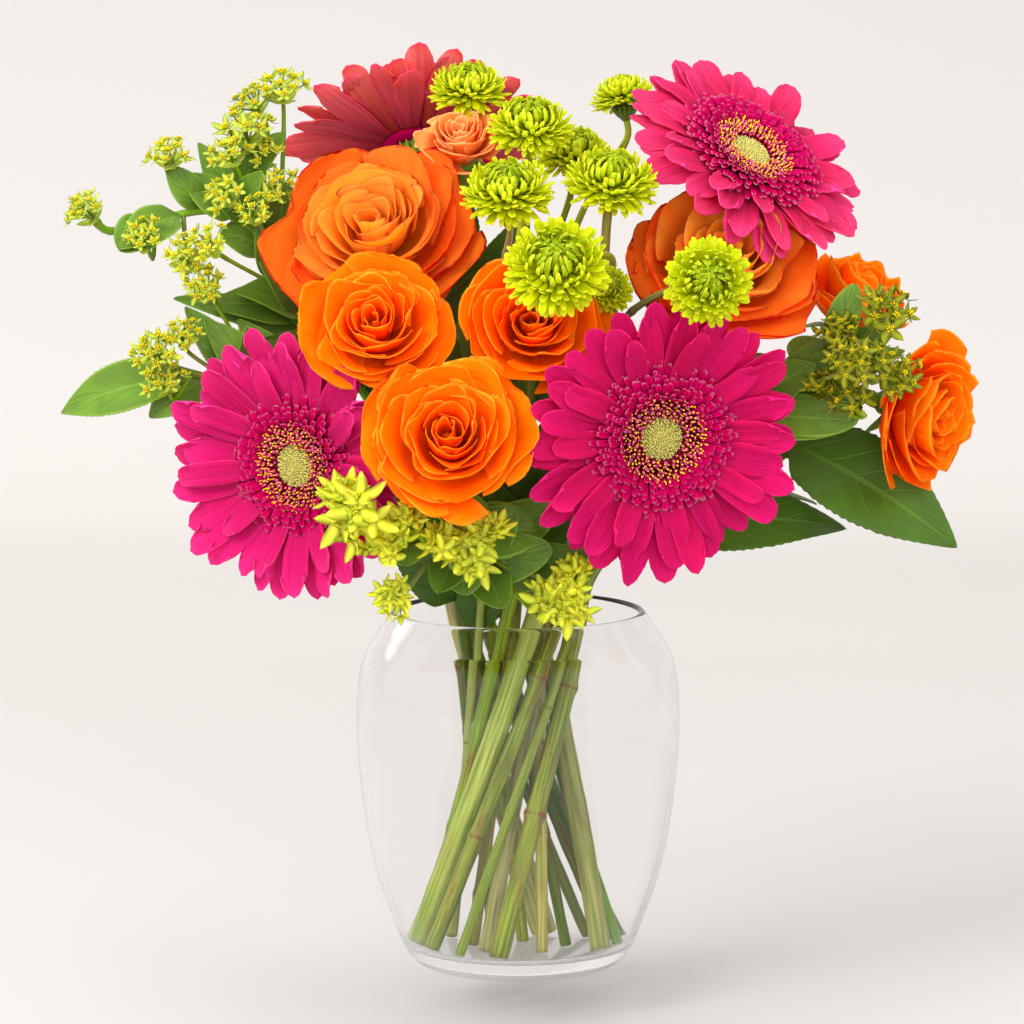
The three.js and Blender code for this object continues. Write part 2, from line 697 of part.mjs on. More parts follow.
// Thorow-wax: its main stem ends in its last umbel, and each other umbel has a twig from a share of the stem.
const SPRAYS = {
  thorow_wax_left_upper: {
    ring: "outer", heading: 148, radius: 1.9, via: [[-42, 26, 205], [-90, 16, 280], [-124, 6, 322]],
    umbels: [
      { share: 1, at: [-180, 0, 320], faces: [-0.6, -0.5, 0.6], size: 8 },
      { share: 0.86, at: [-146, -2, 343], faces: [-0.3, -0.5, 0.8], size: 8 },
      { share: 0.8, at: [-114, 0, 352], faces: [-0.1, -0.5, 0.9], size: 10 },
      { share: 0.78, at: [-100, 12, 370], faces: [0, -0.5, 0.9], size: 9 },
      { share: 0.74, at: [-128, -18, 308], faces: [-0.4, -0.8, 0.4], size: 8 },
    ],
    leaves: [
      { share: 0.9, tip: [-168, -10, 308], half: 10, faces: [0, -0.8, 0.6] },
      { share: 0.82, tip: [-136, 10, 352], half: 8, faces: [0, -0.9, 0.4] },
      { share: 0.72, tip: [-118, -12, 290], half: 11, faces: [0, -0.8, 0.6] },
    ],
  },
  thorow_wax_left_lower: {
    ring: "outer", heading: 200, radius: 1.9, via: [[-50, 4, 200], [-96, -4, 240]],
    umbels: [
      { share: 1, at: [-150, -22, 262], faces: [-0.3, -0.85, 0.4], size: 9 },
      { share: 0.84, at: [-130, -16, 290], faces: [-0.2, -0.8, 0.5], size: 8 },
    ],
    leaves: [
      { share: 0.94, tip: [-196, 0, 238], half: 12, faces: [-0.1, -0.88, 0.46] },
      { share: 0.82, tip: [-112, -44, 276], half: 12, faces: [-0.2, -0.9, 0.4] },
      { share: 0.74, tip: [-116, 30, 226], half: 12, faces: [-0.1, 0.1, 0.95] },
    ],
  },
  thorow_wax_front: {
    ring: "outer", heading: 278, radius: 1.9, via: [[-17, -42, 184]],
    umbels: [
      { share: 1, at: [-62, -112, 206], faces: [-0.3, -0.9, 0.3], size: 10 },
      { share: 0.82, at: [-20, -96, 188], faces: [0, -0.95, 0.2], size: 9 },
      { share: 0.78, at: [-48, -92, 172], faces: [-0.3, -0.9, -0.1], size: 7 },
      { share: 0.74, at: [18, -80, 168], faces: [0.2, -0.95, 0], size: 8 },
    ],
    leaves: [
      { share: 0.84, tip: [-12, -84, 206], half: 12, faces: [0.1, -0.9, 0.4], outline: ROUND_LEAF },
      { share: 0.78, tip: [10, -72, 196], half: 12, faces: [0.1, -0.9, 0.3], outline: ROUND_LEAF },
      { share: 0.74, tip: [-22, -74, 170], half: 11, faces: [0, -0.9, 0.3], outline: ROUND_LEAF },
    ],
  },
  thorow_wax_right: {
    ring: "outer", heading: 22, radius: 1.9, via: [[58, -16, 205], [104, -36, 250]],
    umbels: [
      { share: 1, at: [147, -58, 280], faces: [0.3, -0.7, 0.6], size: 10 },
      { share: 0.8, at: [134, -72, 264], faces: [-0.1, -0.9, 0.3], size: 8 },
    ],
    leaves: [
      { share: 0.92, tip: [138, -54, 295], half: 7, faces: [-0.2, -0.95, 0.2], outline: ROUND_LEAF },
      { share: 0.8, tip: [140, -50, 240], half: 12, faces: [0, -0.95, 0.2], outline: ROUND_LEAF },
    ],
  },
};

// Length of one step of a stem, its branches and its twigs.
const STEP = { main: 42, branch: 24, twig: 34 };
const THICK_STEM = 2.8;
const INSIDE_END = 1.2;

/** A tube along a path in steps of about a given length, with points on its axis and just inside its end. */
function stalk(path, radius, sides, stepLength) {
  const length = path.getLength();
  const steps = Math.max(2, Math.round(length / stepLength));
  const stations = path.getSpacedPoints(steps);
  const at = (share) => {
    const whole = Math.min(Math.floor(share * steps), steps - 1);
    return stations[whole].clone().lerp(stations[whole + 1], share * steps - whole).toArray();
  };
  return { made: solid(tube(path, radius, sides, steps)), at, end: at(1 - INSIDE_END / length) };
}

/** A main stem, and the plain straight hole that it needs in the water. */
function mainStem(stem, endPoints) {
  const footHeight = VASE.floor + CLEARANCE + stem.radius * RINGS[stem.ring].slope;
  const lower = [footHeight, WATER_LEVEL + 6, MOUTH_HEIGHT].map((z) => lowerPoint(stem, z));
  const path = smoothPath([...lower, ...stem.via, ...endPoints]);
  const bore = new THREE.LineCurve3(vec(lowerPoint(stem, VASE.floor - 4)), vec(lower[1]));
  const boreRadius = (stem.radius + CLEARANCE) / Math.cos(Math.PI / BORE_SIDES);
  return {
    ...stalk(path, stem.radius, stem.radius > THICK_STEM ? 6 : 5, STEP.main),
    hole: solid(tube(bore, boreRadius, BORE_SIDES, 1)),
  };
}

const leavesOn = (main, leaves = []) => leaves.map((one) => leaf({ ...one, root: main.at(one.share) }));

/** A flower stem with its branches, cups, sepals and leaves. */
function flowerStem(stem) {
  const top = headEnd(stem.head, stem.radius);
  const main = mainStem(stem, top.points);
  const branches = (stem.branches ?? []).flatMap((branch) => {
    const end = headEnd(branch.head, branch.radius);
    const path = smoothPath([main.at(branch.share), ...branch.via, ...end.points]);
    return [stalk(path, branch.radius, 4, STEP.branch).made, end.cup];
  });
  const made = joined([main.made, top.cup, ...branches, ...leavesOn(main, stem.leaves)]);
  return { made, hole: main.hole };
}

/** A thorow-wax spray with its twigs, umbels and leaves. */
function thorowWaxSpray(spray, seed) {
  const [last, ...others] = spray.umbels;
  const main = mainStem(spray, [behind(last, UMBEL.neck), last.at]);
  const twigs = others.flatMap((one, i) => {
    const path = smoothPath([main.at(one.share), behind(one, UMBEL.neck), one.at]);
    const twig = stalk(path, UMBEL.twigRadius, 3, STEP.twig);
    return [twig.made, ...umbel(one, seed + i + 1, twig.end)];
  });
  const made = joined([main.made, ...umbel(last, seed, main.end), ...twigs, ...leavesOn(main, spray.leaves)]);
  return { made, hole: main.hole };
}

// ---------------------------------------------------------------- the whole

const group = new THREE.Group();

function addMesh(name, made, material) {
  const mesh = new THREE.Mesh(geometryOf(made), material);
  mesh.name = name;
  group.add(mesh);
  return mesh;
}

/** A bloom is made in its own frame and placed as a mesh. */
function addBloom(name, head, made, material) {
  const frame = headFrame(head);
  addMesh(name, made, material).applyMatrix4(frame);
}

for (const [name, head] of Object.entries(GERBERAS)) {
  addBloom(`${name}_petals`, head, gerberaPetals(head), FINISH.gerberaPetal());
  addBloom(`${name}_disc`, head, gerberaDisc(), FINISH.gerberaDisc());
}
for (const [name, head] of Object.entries(ROSES)) {
  const twoTone = name.startsWith("rose_large");
  addBloom(name, head, roseBloom(head), twoTone ? FINISH.twoTonePetal() : FINISH.orangePetal());
}
for (const [name, head] of Object.entries(BUTTONS)) {
  addBloom(name, head, buttonBloom(head), FINISH.buttonPetal());
}

const holes = [];
for (const [name, stem] of Object.entries(STEMS)) {
  const { made, hole } = flowerStem(stem);
  addMesh(name, made, FINISH.stem());
  holes.push(hole);
}
Object.entries(SPRAYS).forEach(([name, spray], i) => {
  const { made, hole } = thorowWaxSpray(spray, 40 + 10 * i);
  addMesh(name, made, FINISH.thorowWax());
  holes.push(hole);
});

addMesh("vase", vaseSolid(), FINISH.glass());
addMesh("water", waterSolid(holes), FINISH.water());

export default group;
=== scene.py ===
"""The looks of a clear glass vase of water with gerberas, roses, button chrysanthemums and thorow-wax.

Forms are worked out with numpy in millimetres, in the frame of the CAD model: +Z up, the front towards -Y.
A form is a grid of points (piece, row, column, xyz). Each point also carries two vectors for the finishes:
  grow = (across -1..1, along 0..1, layer 0..1)
  lot = (a draw for the whole petal, 1 on its face and 0 on its underside, a second draw)
"""
import math
import bmesh
import bpy
import numpy as np
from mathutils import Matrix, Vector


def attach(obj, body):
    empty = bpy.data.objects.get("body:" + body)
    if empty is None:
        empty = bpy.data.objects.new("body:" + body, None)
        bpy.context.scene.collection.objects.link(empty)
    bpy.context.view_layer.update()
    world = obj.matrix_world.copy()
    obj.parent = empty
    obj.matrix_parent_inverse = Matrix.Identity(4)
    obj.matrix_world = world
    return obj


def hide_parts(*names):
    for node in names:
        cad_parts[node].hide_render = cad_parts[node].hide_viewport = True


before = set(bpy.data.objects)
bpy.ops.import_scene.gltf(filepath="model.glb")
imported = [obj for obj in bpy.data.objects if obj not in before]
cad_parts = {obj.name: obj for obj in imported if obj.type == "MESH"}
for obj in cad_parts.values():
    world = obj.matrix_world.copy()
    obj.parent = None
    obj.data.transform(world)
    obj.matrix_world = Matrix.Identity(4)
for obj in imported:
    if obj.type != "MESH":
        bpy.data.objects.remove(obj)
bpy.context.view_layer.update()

MM = 0.001
MERGE = 1e-7  # metres
TURN = 2 * math.pi
GOLDEN = math.radians(137.5)
RIDES_ON = "root"

# ---------------------------------------------------------------- driving values, in millimetres

# Each bloom: the middle of its base, the way it faces, its radius, a gerbera's cup in degrees, a rose's
# height and how far it is open, and the finish of its petals.
HEADS = {
    "gerbera_front_left": dict(
        at=(-87, -58, 222), faces=(-0.54, -0.84, -0.06), radius=58, cup=17, petal="light_ray"),
    "gerbera_front_right": dict(
        at=(55, -87, 237), faces=(0.28, -0.94, -0.16), radius=60, cup=11, petal="pink_ray"),
    "gerbera_right_top": dict(
        at=(93, -23, 343), faces=(0.44, -0.56, 0.7), radius=56, cup=4, petal="coral_ray"),
    "gerbera_back": dict(at=(-45, 68, 346), faces=(-0.1, 0.6, 0.79), radius=58, cup=10, petal="dull_ray"),
    "rose_large_left": dict(
        at=(-57, -18, 305), faces=(-0.15, -0.78, 0.61), radius=46, height=34, open=1, petal="two_tone_petal"),
    "rose_large_right": dict(
        at=(81, -38, 292), faces=(0.2, -0.75, 0.63), radius=42, height=34, open=1, petal="two_tone_petal"),
    "rose_spray_upper_left": dict(
        at=(-56, -76, 274), faces=(-0.1, -0.88, 0.46), radius=31, height=27, open=0.85, petal="orange_petal"),
    "rose_spray_upper_right": dict(
        at=(5, -72, 274), faces=(0.02, -0.9, 0.43), radius=30, height=27, open=0.85, petal="orange_petal"),
    "rose_spray_front": dict(
        at=(-28, -98, 232), faces=(0, -0.92, 0.38), radius=36, height=30, open=0.85, petal="orange_petal"),
    "rose_right": dict(
        at=(159, -15, 242), faces=(0.78, -0.6, -0.16), radius=34, height=27, open=0.85, petal="orange_petal"),
    "rose_right_back": dict(
        at=(139, 17, 273), faces=(0.42, -0.3, 0.85), radius=27, height=27, open=0.5, petal="orange_petal"),
    "rose_small_top": dict(
        at=(-24, 4, 345), faces=(-0.05, -0.62, 0.78), radius=20, height=19, open=0.9, petal="peach_petal"),
    "button_1": dict(at=(-21, 12, 370), faces=(0, -0.3, 0.95), radius=17.5),
    "button_2": dict(at=(5, -41, 355), faces=(0, -0.4, 0.92), radius=18),
    "button_3": dict(at=(-4, -76, 329), faces=(-0.05, -0.45, 0.89), radius=19.5),
    "button_4": dict(at=(23, -6, 343), faces=(0.05, -0.35, 0.93), radius=17),
    "button_5": dict(at=(37, -68, 333), faces=(0.08, -0.45, 0.89), radius=19.5),
    "button_6": dict(at=(15, -111, 303), faces=(-0.02, -0.82, 0.57), radius=21.5),
    "button_7": dict(at=(74, -114, 299), faces=(0.04, -0.97, 0.24), radius=18),
    "button_8": dict(at=(35, -74, 293), faces=(0.3, -0.75, 0.58), radius=11),
    "button_9": dict(at=(46, 31, 367), faces=(-0.1, 0.1, 0.99), radius=15),
}

# The vase's outer side as radius against height, its rim, wall and floor.
VASE_SIDE = [(44.4, 0), (48.6, 4.5), (54.6, 19), (62, 41), (67.6, 74), (69.6, 104), (67.2, 130), (60.5, 143)]
VASE_RIM = (53.6, 153)
VASE_WALL = 2.6
VASE_FLOOR = 8
VASE_SIDES = 144
WATER_LEVEL = 140
WATER_GAP = 0.12
# How glass and water look: colour, how much each bends light, and the gloss of the water's top.
GLASS_COLOUR = (0.968, 0.971, 0.971, 1)
GLASS_BEND = 1.34
WATER_BEND = 1.13
STILL_GLOSS = 0.07

# The stems cross at the waist in two rings (radius, slope), which lean the same way round. Under a bloom, the
# neck is the last of its stem to run straight, and the cup's depth is where the stem ends.
WAIST = 100
RING = {"outer": (19, 0.366), "inner": (8.5, 0.18)}
FOOT_HEIGHT = VASE_FLOOR + 0.35
STRAIGHT_UP_TO = (WATER_LEVEL + 6, 166)
NECK = {"gerbera": 34, "rose": 20, "button": 13, "wax": 9}
CUP = {"gerbera": 15, "rose": 8, "button": 4.5}
# How far apart the joints of a stem are, and the step along a stem's path.
JOINT_STEP = {"gerbera": 900, "rose": 47, "button": 36, "wax": 52}
PATH_STEP = 2.5
LEAF_ROWS, LEAF_COLUMNS = 76, 15
LEAF_TEETH = 24
# How thick petals, bracts and leaves are in their middle.
THICK = {"ray": 0.5, "crown": 0.35, "rose": 0.28, "button": 0.4, "bract": 0.4, "star": 0.35, "leaf": 0.5}
# The twigs of thorow-wax and the rays of its umbels: radius, joint step and sides.
TWIG = (1.0, 30, 8)
UMBEL_RAY = (0.42, 900, 6)
STAR_BRACTS = 5
TUFT_FLORETS = 10

# Each stem: its ring, heading in degrees and radius, the points that it passes above the mouth, and its
# bloom. A branch is (share of the stem where it leaves, points that it passes, bloom, radius). A leaf is
# (share of the stem, tip x y z, half width, faces x y z).
STEMS = {
    "gerbera_front_left_stem": dict(
        ring="outer", heading=226, radius=4.4, via=[(-50, -20, 198)], head="gerbera_front_left"),
    "gerbera_front_right_stem": dict(
        ring="outer", heading=330, radius=4.4, via=[(30, -42, 205)], head="gerbera_front_right"),
    "gerbera_right_top_stem": dict(
        ring="inner", heading=21, radius=3, via=[(32, -8, 230), (62, -8, 285)], head="gerbera_right_top"),
    "gerbera_back_stem": dict(
        ring="outer", heading=120, radius=4, via=[(-14, 36, 240)], head="gerbera_back"),
    "rose_large_left_stem": dict(
        ring="outer", heading=174, radius=4, via=[(-38, 8, 222)], head="rose_large_left",
        leaves=[
            (0.66, -58, 66, 262, 14, 0, 0.4, 0.8), (0.78, -88, 40, 306, 13, -0.3, 0.5, 0.8),
            (0.82, -105, -38, 272, 12, -0.2, -0.9, 0.4), (0.88, -13, -22, 304, 11, 0.2, -0.9, 0.3),
            (0.74, -80, 6, 285, 13, -0.2, -0.6, 0.7), (0.6, -70, -8, 235, 12, -0.3, -0.8, 0.4),
        ]),
    "rose_large_right_stem": dict(
        ring="outer", heading=356, radius=3, via=[(48, -16, 220)], head="rose_large_right",
        leaves=[
            (0.66, 92, 14, 240, 15, 0.3, 0.2, 0.9), (0.8, 104, -46, 258, 11, 0.1, -0.9, 0.4),
            (0.78, 111, 2, 262, 13, 0.1, -0.9, 0.4), (0.74, 37, 6, 287, 12, -0.2, -0.8, 0.5),
            (0.68, 99, 14, 254, 13, 0.2, -0.7, 0.6),
        ]),
    "rose_spray_left_stem": dict(
        ring="outer", heading=252, radius=2.8, via=[(-26, -34, 205)], head="rose_spray_front",
        branches=[(0.6, [(-36, -40, 240)], "rose_spray_upper_left", 1.8)],
        leaves=[
            (0.58, -54, -48, 196, 11, -0.3, -0.8, 0.4), (0.62, -47, -50, 252, 12, -0.1, -0.9, 0.3),
            (0.6, -30, -33, 280, 15, 0.05, -0.97, 0.1), (0.56, -8, -36, 262, 13, 0.1, -0.97, 0.1),
            (0.5, 4, -46, 240, 12, 0.1, -0.97, 0.2),
        ]),
    "rose_spray_right_stem": dict(
        ring="outer", heading=304, radius=2.8, via=[(4, -38, 225)], head="rose_spray_upper_right",
        leaves=[
            (0.82, -24, -52, 282, 12, 0, -0.95, 0.2), (0.68, 20, -44, 248, 12, 0.2, -0.9, 0.3),
            (0.6, 22, -50, 222, 12, 0.2, -0.9, 0.3), (0.62, -16, -46, 218, 13, -0.1, -0.95, 0.2),
            (0.86, 34, -40, 267, 12, 0.1, -0.95, 0.2),
        ]),
    "rose_right_stem": dict(
        ring="outer", heading=48, radius=3.6, via=[(60, 6, 200), (104, 4, 224)], head="rose_right",
        branches=[(0.66, [(110, 22, 240)], "rose_right_back", 1.9)],
        leaves=[
            (0.84, 186, -20, 183, 20, -0.1, -0.85, 0.5), (0.62, 132, 44, 196, 16, 0, -0.3, 0.95),
            (0.6, 141, 2, 189, 17, -0.1, -0.8, 0.6), (0.78, 132, 6, 237, 13, 0.1, -0.8, 0.5),
            (0.84, 150, 12, 246, 12, 0.1, -0.8, 0.5),
        ]),
    "rose_small_top_stem": dict(
        ring="inner", heading=165, radius=2, via=[(-18, 16, 230), (-22, 20, 290)], head="rose_small_top",
        leaves=[
            (0.86, -38, 24, 348, 12, -0.1, -0.9, 0.3), (0.78, 4, 6, 322, 12, 0.1, -0.9, 0.3),
        ]),
    "button_back_stem": dict(
        ring="inner", heading=93, radius=2.2, head="button_1",
        via=[(6, 20, 230), (2, 28, 300), (-16, 28, 340)],
        branches=[
            (0.72, [(18, 6, 316)], "button_4", 1.5), (0.7, [(32, 34, 330)], "button_9", 1.5),
        ]),
    "button_left_stem": dict(
        ring="inner", heading=237, radius=2.2, via=[(-12, -8, 230), (2, -28, 320)], head="button_2",
        branches=[(0.76, [(-6, -44, 302)], "button_3", 1.5)]),
    "button_right_stem": dict(
        ring="inner", heading=309, radius=2.2, via=[(16, -26, 230), (33, -44, 285)], head="button_5",
        branches=[
            (0.84, [(38, -70, 306), (26, -96, 307)], "button_6", 1.5),
            (0.76, [(48, -62, 286), (66, -88, 296)], "button_7", 1.5), (0.8, [], "button_8", 1.2),
        ]),
}

# Thorow-wax: an umbel is (share of the stem, place x y z, faces x y z, size), and the first one ends the
# stem. A leaf is (share of the stem, tip x y z, half width, faces x y z, 1 where it is round).
SPRAYS = {
    "thorow_wax_left_upper": dict(
        ring="outer", heading=148, radius=1.9, via=[(-42, 26, 205), (-90, 16, 280), (-124, 6, 322)],
        umbels=[
            (1, -180, 0, 320, -0.6, -0.5, 0.6, 8), (0.86, -146, -2, 343, -0.3, -0.5, 0.8, 8),
            (0.8, -114, 0, 352, -0.1, -0.5, 0.9, 10), (0.78, -100, 12, 370, 0, -0.5, 0.9, 9),
            (0.74, -128, -18, 308, -0.4, -0.8, 0.4, 8), (0.93, -157, -6, 309, -0.2, -0.6, 0.6, 8),
            (0.9, -140, -12, 302, 0, -0.6, 0.4, 8), (0.84, -121, -8, 328, -0.4, -0.5, 0.5, 8),
            (0.8, -109, -14, 320, -0.2, -0.4, 0.6, 8), (0.78, -102, -4, 330, 0.2, -0.7, 0.7, 8),
            (0.84, -120, -4, 344, -0.3, -0.6, 0.8, 8), (0.8, -108, 4, 343, 0, -0.5, 0.7, 8),
            (0.82, -111, 12, 365, -0.4, -0.5, 0.7, 8),
        ],
        leaves=[
            (0.9, -168, -10, 308, 10, 0, -0.8, 0.6, 0), (0.82, -136, 10, 352, 8, 0, -0.9, 0.4, 0),
            (0.72, -118, -12, 290, 11, 0, -0.8, 0.6, 0), (0.88, -149, -2, 343, 7, 0, -0.9, 0.4, 0),
            (0.84, -143, 4, 339, 8.5, 0.2, -0.9, 0.3, 0), (0.93, -168, -8, 307, 9.5, -0.1, -0.9, 0.3, 1),
            (0.76, -110, -8, 317, 8, -0.2, -0.9, 0.3, 0), (0.72, -132, -4, 284, 10, -0.1, -0.8, 0.5, 0),
            (0.68, -146, 4, 287, 8.5, 0, -0.8, 0.5, 0), (0.66, -122, -2, 271, 10, -0.2, -0.9, 0.3, 0),
            (0.8, -126, 2, 314, 9, 0, -0.8, 0.5, 1), (0.7, -108, -12, 302, 9, 0.1, -0.9, 0.3, 0),
            (0.62, -111, 8, 265, 11, -0.1, -0.8, 0.5, 0), (0.84, -108, -14, 340, 8, -0.3, -0.9, 0.3, 0),
            (0.8, -97, -10, 334, 9, 0.3, -0.9, 0.3, 1), (0.76, -96, -12, 314, 9, 0.2, -0.9, 0.2, 0),
            (0.86, -100, 4, 356, 7, -0.2, -0.9, 0.3, 1),
        ]),
    "thorow_wax_left_lower": dict(
        ring="outer", heading=200, radius=1.9, via=[(-50, 4, 200), (-96, -4, 240)],
        umbels=[
            (1, -150, -22, 262, -0.3, -0.85, 0.4, 9), (0.84, -130, -16, 290, -0.2, -0.8, 0.5, 8),
            (0.94, -147, -22, 250, -0.2, -0.6, 0.6, 8), (0.88, -140, -20, 270, 0, -0.6, 0.4, 7),
        ],
        leaves=[
            (0.94, -196, 0, 238, 12, -0.1, -0.88, 0.46, 0), (0.82, -112, -44, 276, 12, -0.2, -0.9, 0.4, 0),
            (0.74, -116, 30, 226, 12, -0.1, 0.1, 0.95, 0), (0.82, -132, -14, 278, 10, -0.1, -0.9, 0.4, 0),
            (0.86, -141, -6, 283, 8, -0.2, -0.8, 0.5, 0), (0.92, -156, -14, 237, 9, -0.1, -0.9, 0.3, 0),
            (0.74, -118, -10, 278, 11, 0.1, -0.9, 0.3, 0), (0.78, -112, -16, 263, 10, 0, -0.9, 0.3, 1),
        ]),
    "thorow_wax_front": dict(
        ring="outer", heading=278, radius=1.9, via=[(-17, -42, 184)],
        umbels=[
            (1, -62, -112, 206, -0.3, -0.9, 0.3, 10), (0.82, -20, -96, 188, 0, -0.95, 0.2, 9),
            (0.78, -48, -92, 172, -0.3, -0.9, -0.1, 7), (0.74, 18, -80, 168, 0.2, -0.95, 0, 8),
            (0.95, -69, -106, 212, -0.2, -0.6, 0.6, 7), (0.9, -52, -104, 193, 0, -0.6, 0.4, 8),
            (0.88, -42, -106, 201, -0.4, -0.5, 0.5, 7), (0.8, -29, -100, 191, -0.2, -0.4, 0.6, 8),
            (0.7, 12, -80, 166, 0.2, -0.7, 0.7, 7), (0.74, 24, -78, 176, -0.3, -0.6, 0.8, 7),
            (0.84, -13, -98, 195, 0, -0.5, 0.7, 7),
        ],
        leaves=[
            (0.84, -12, -84, 206, 12, 0.1, -0.9, 0.4, 1), (0.78, 10, -72, 196, 12, 0.1, -0.9, 0.3, 1),
            (0.74, -22, -74, 170, 11, 0, -0.9, 0.3, 1), (0.7, -2, -84, 205, 11, 0.1, -0.95, 0.2, 1),
            (0.66, 12, -80, 190, 11, 0.2, -0.95, 0.1, 1), (0.62, 27, -70, 185, 10, 0.3, -0.9, 0.2, 1),
            (0.72, -32, -84, 173, 10, -0.2, -0.95, 0.1, 1), (0.86, -46, -96, 185, 10, -0.2, -0.95, 0.1, 1),
            (0.66, -7, -74, 165, 10, 0, -0.95, 0.2, 1), (0.8, -35, -92, 203, 10, 0, -0.95, 0.3, 1),
            (0.7, 15, -76, 206, 11, 0.2, -0.95, 0.2, 1),
        ]),
    "thorow_wax_right": dict(
        ring="outer", heading=22, radius=1.9, via=[(58, -16, 205), (104, -36, 250)],
        umbels=[
            (1, 147, -58, 280, 0.3, -0.7, 0.6, 10), (0.8, 134, -72, 264, -0.1, -0.9, 0.3, 8),
            (0.92, 133, -52, 272, -0.2, -0.6, 0.6, 8), (0.84, 152, -60, 258, 0.3, -0.9, 0.2, 9),
            (0.82, 138, -58, 246, -0.4, -0.5, 0.5, 8), (0.78, 125, -48, 250, 0.2, -0.7, 0.7, 7),
            (0.9, 144, -62, 262, -0.3, -0.6, 0.8, 8),
        ],
        leaves=[
            (0.92, 138, -54, 295, 7, -0.2, -0.95, 0.2, 1), (0.8, 140, -50, 240, 12, 0, -0.95, 0.2, 1),
            (0.88, 124, -40, 272, 10, -0.2, -0.9, 0.3, 1), (0.84, 145, -46, 272, 10, 0.1, -0.95, 0.2, 1),
            (0.86, 158, -56, 268, 8, 0.2, -0.95, 0.2, 0), (0.82, 122, -50, 262, 9, -0.2, -0.95, 0.2, 0),
            (0.78, 137, -52, 239, 10, 0.1, -0.95, 0.1, 1), (0.8, 122, -40, 258, 10, -0.2, -0.9, 0.2, 1),
            (0.9, 155, -50, 276, 8, 0.2, -0.9, 0.2, 0),
        ]),
}

# ---------------------------------------------------------------- camera, floor and light

CAMERA_AT = (-2.6, -1500, 378.8)
CAMERA_DOWN = 7  # degrees below level
CAMERA_LENS = 124.15
# Tones of the studio, as seen, from its front to its wall: (metres behind the vase, colour).
# They hold painted light: paler farther back, up to the curve, where the lamps light the floor less.
STUDIO_PAINTED_LIGHT_TONES = [
    (-0.2, (188, 185, 183)), (0.8, (195, 191, 188)), (1.35, (206, 202, 199)), (1.85, (189, 185, 183)),
]


def put_camera():
    camera = bpy.data.objects.new("camera", bpy.data.cameras.new("camera"))
    camera.data.lens = CAMERA_LENS
    camera.data.sensor_width = 36
    camera.data.clip_end = 20
    camera.location = [c * MM for c in CAMERA_AT]
    camera.rotation_euler = (math.radians(90 - CAMERA_DOWN), 0, 0)
    bpy.context.collection.objects.link(camera)
    bpy.context.scene.camera = camera


def put_lamp(name, at, aim, size, watts, colour=(1, 1, 1), mirrored=False):
    """A square soft lamp of a size at a place, turned to what it lights, all in metres. Only a mirrored one
    shows in the glass and through it."""
    lamp = bpy.data.objects.new(name, bpy.data.lights.new(name, "AREA"))
    lamp.data.size = size
    lamp.data.energy = watts
    lamp.data.color = colour
    lamp.visible_glossy = lamp.visible_transmission = mirrored
    lamp.location = at
    way = Vector(aim) - Vector(at)
    lamp.rotation_euler = way.to_track_quat("-Z", "Y").to_euler()
    bpy.context.collection.objects.link(lamp)


put_camera()

# ---------------------------------------------------------------- forms as grids of points


def unit(vectors):
    """Each vector over its length."""
    return vectors / np.maximum(np.linalg.norm(vectors, axis=-1, keepdims=True), 1e-12)


def smoothstep(low, high, x):
    """Rises from 0 at low to 1 at high as 3t^2 - 2t^3."""
    t = np.clip((x - low) / (high - low), 0, 1)
    return t * t * (3 - 2 * t)


def dense_to_edges(count):
    """Values from -1 to 1 as the sine of even angles, so that they crowd at both ends."""
    return np.sin(np.linspace(-math.pi / 2, math.pi / 2, count))


def dense_to_tip(count):
    """Values from 0 to 1 as the sine of even angles, so that they crowd at 1."""
    return np.sin(np.linspace(0, math.pi / 2, count))


def column(values):
    """One value for each piece, shaped to meet a grid (piece, row, column)."""
    return np.asarray(values, float)[:, None, None]


def swaying(draws, count):
    """A function that draws a value within a spread for each piece."""
    return lambda spread: column(draws.uniform(-spread, spread, count))


def points_of(x, y, z):
    """Points from arrays of x, y and z that fit one another's shapes."""
    return np.stack(np.broadcast_arrays(x, y, z), axis=-1)


def round_z(radius, angle, height):
    """Points at a radius, angle and height round Z."""
    return points_of(radius * np.cos(angle), radius * np.sin(angle), height)


def turned_round_z(points, angle):
    """Points turned round Z by an angle."""
    x, y, z = np.moveaxis(points, -1, 0)
    return points_of(x * np.cos(angle) - y * np.sin(angle), x * np.sin(angle) + y * np.cos(angle), z)


def axes_of(faces):
    """Rows X, Y, Z of a bloom's frame: Z is the way it faces, X is level, and Y is Z cross X."""
    z = unit(np.asarray(faces, float))
    x = unit(np.cross(np.broadcast_to((0.0, 0.0, 1.0), z.shape), z))
    return np.stack([x, np.cross(z, x), z], axis=-2)


def placed(points, head):
    """Points of a bloom's own frame, put at its place and turned the way it faces."""
    return points @ axes_of(head["faces"]) + np.asarray(head["at"], float)


def set_on(grid, at, way):
    """Small grids of their own frames, each put at its place and turned its own way."""
    return grid @ axes_of(way)[:, None] + at[:, None, None]


def walled(sheet, thickness):
    """A sheet (piece, row, column, xyz) as closed loops: up its face and back down its underside, half a
    thickness off along the normal. The wall pinches shut at every edge."""
    normal = unit(np.cross(np.gradient(sheet, axis=2), np.gradient(sheet, axis=1)))
    wall = np.full(sheet.shape[1:3], thickness / 2)
    wall[[0, -1]] = 0
    wall[:, [0, -1]] = 0
    offset = normal * wall[..., None]
    return np.concatenate([sheet + offset, (sheet - offset)[:, :, ::-1]], axis=2)


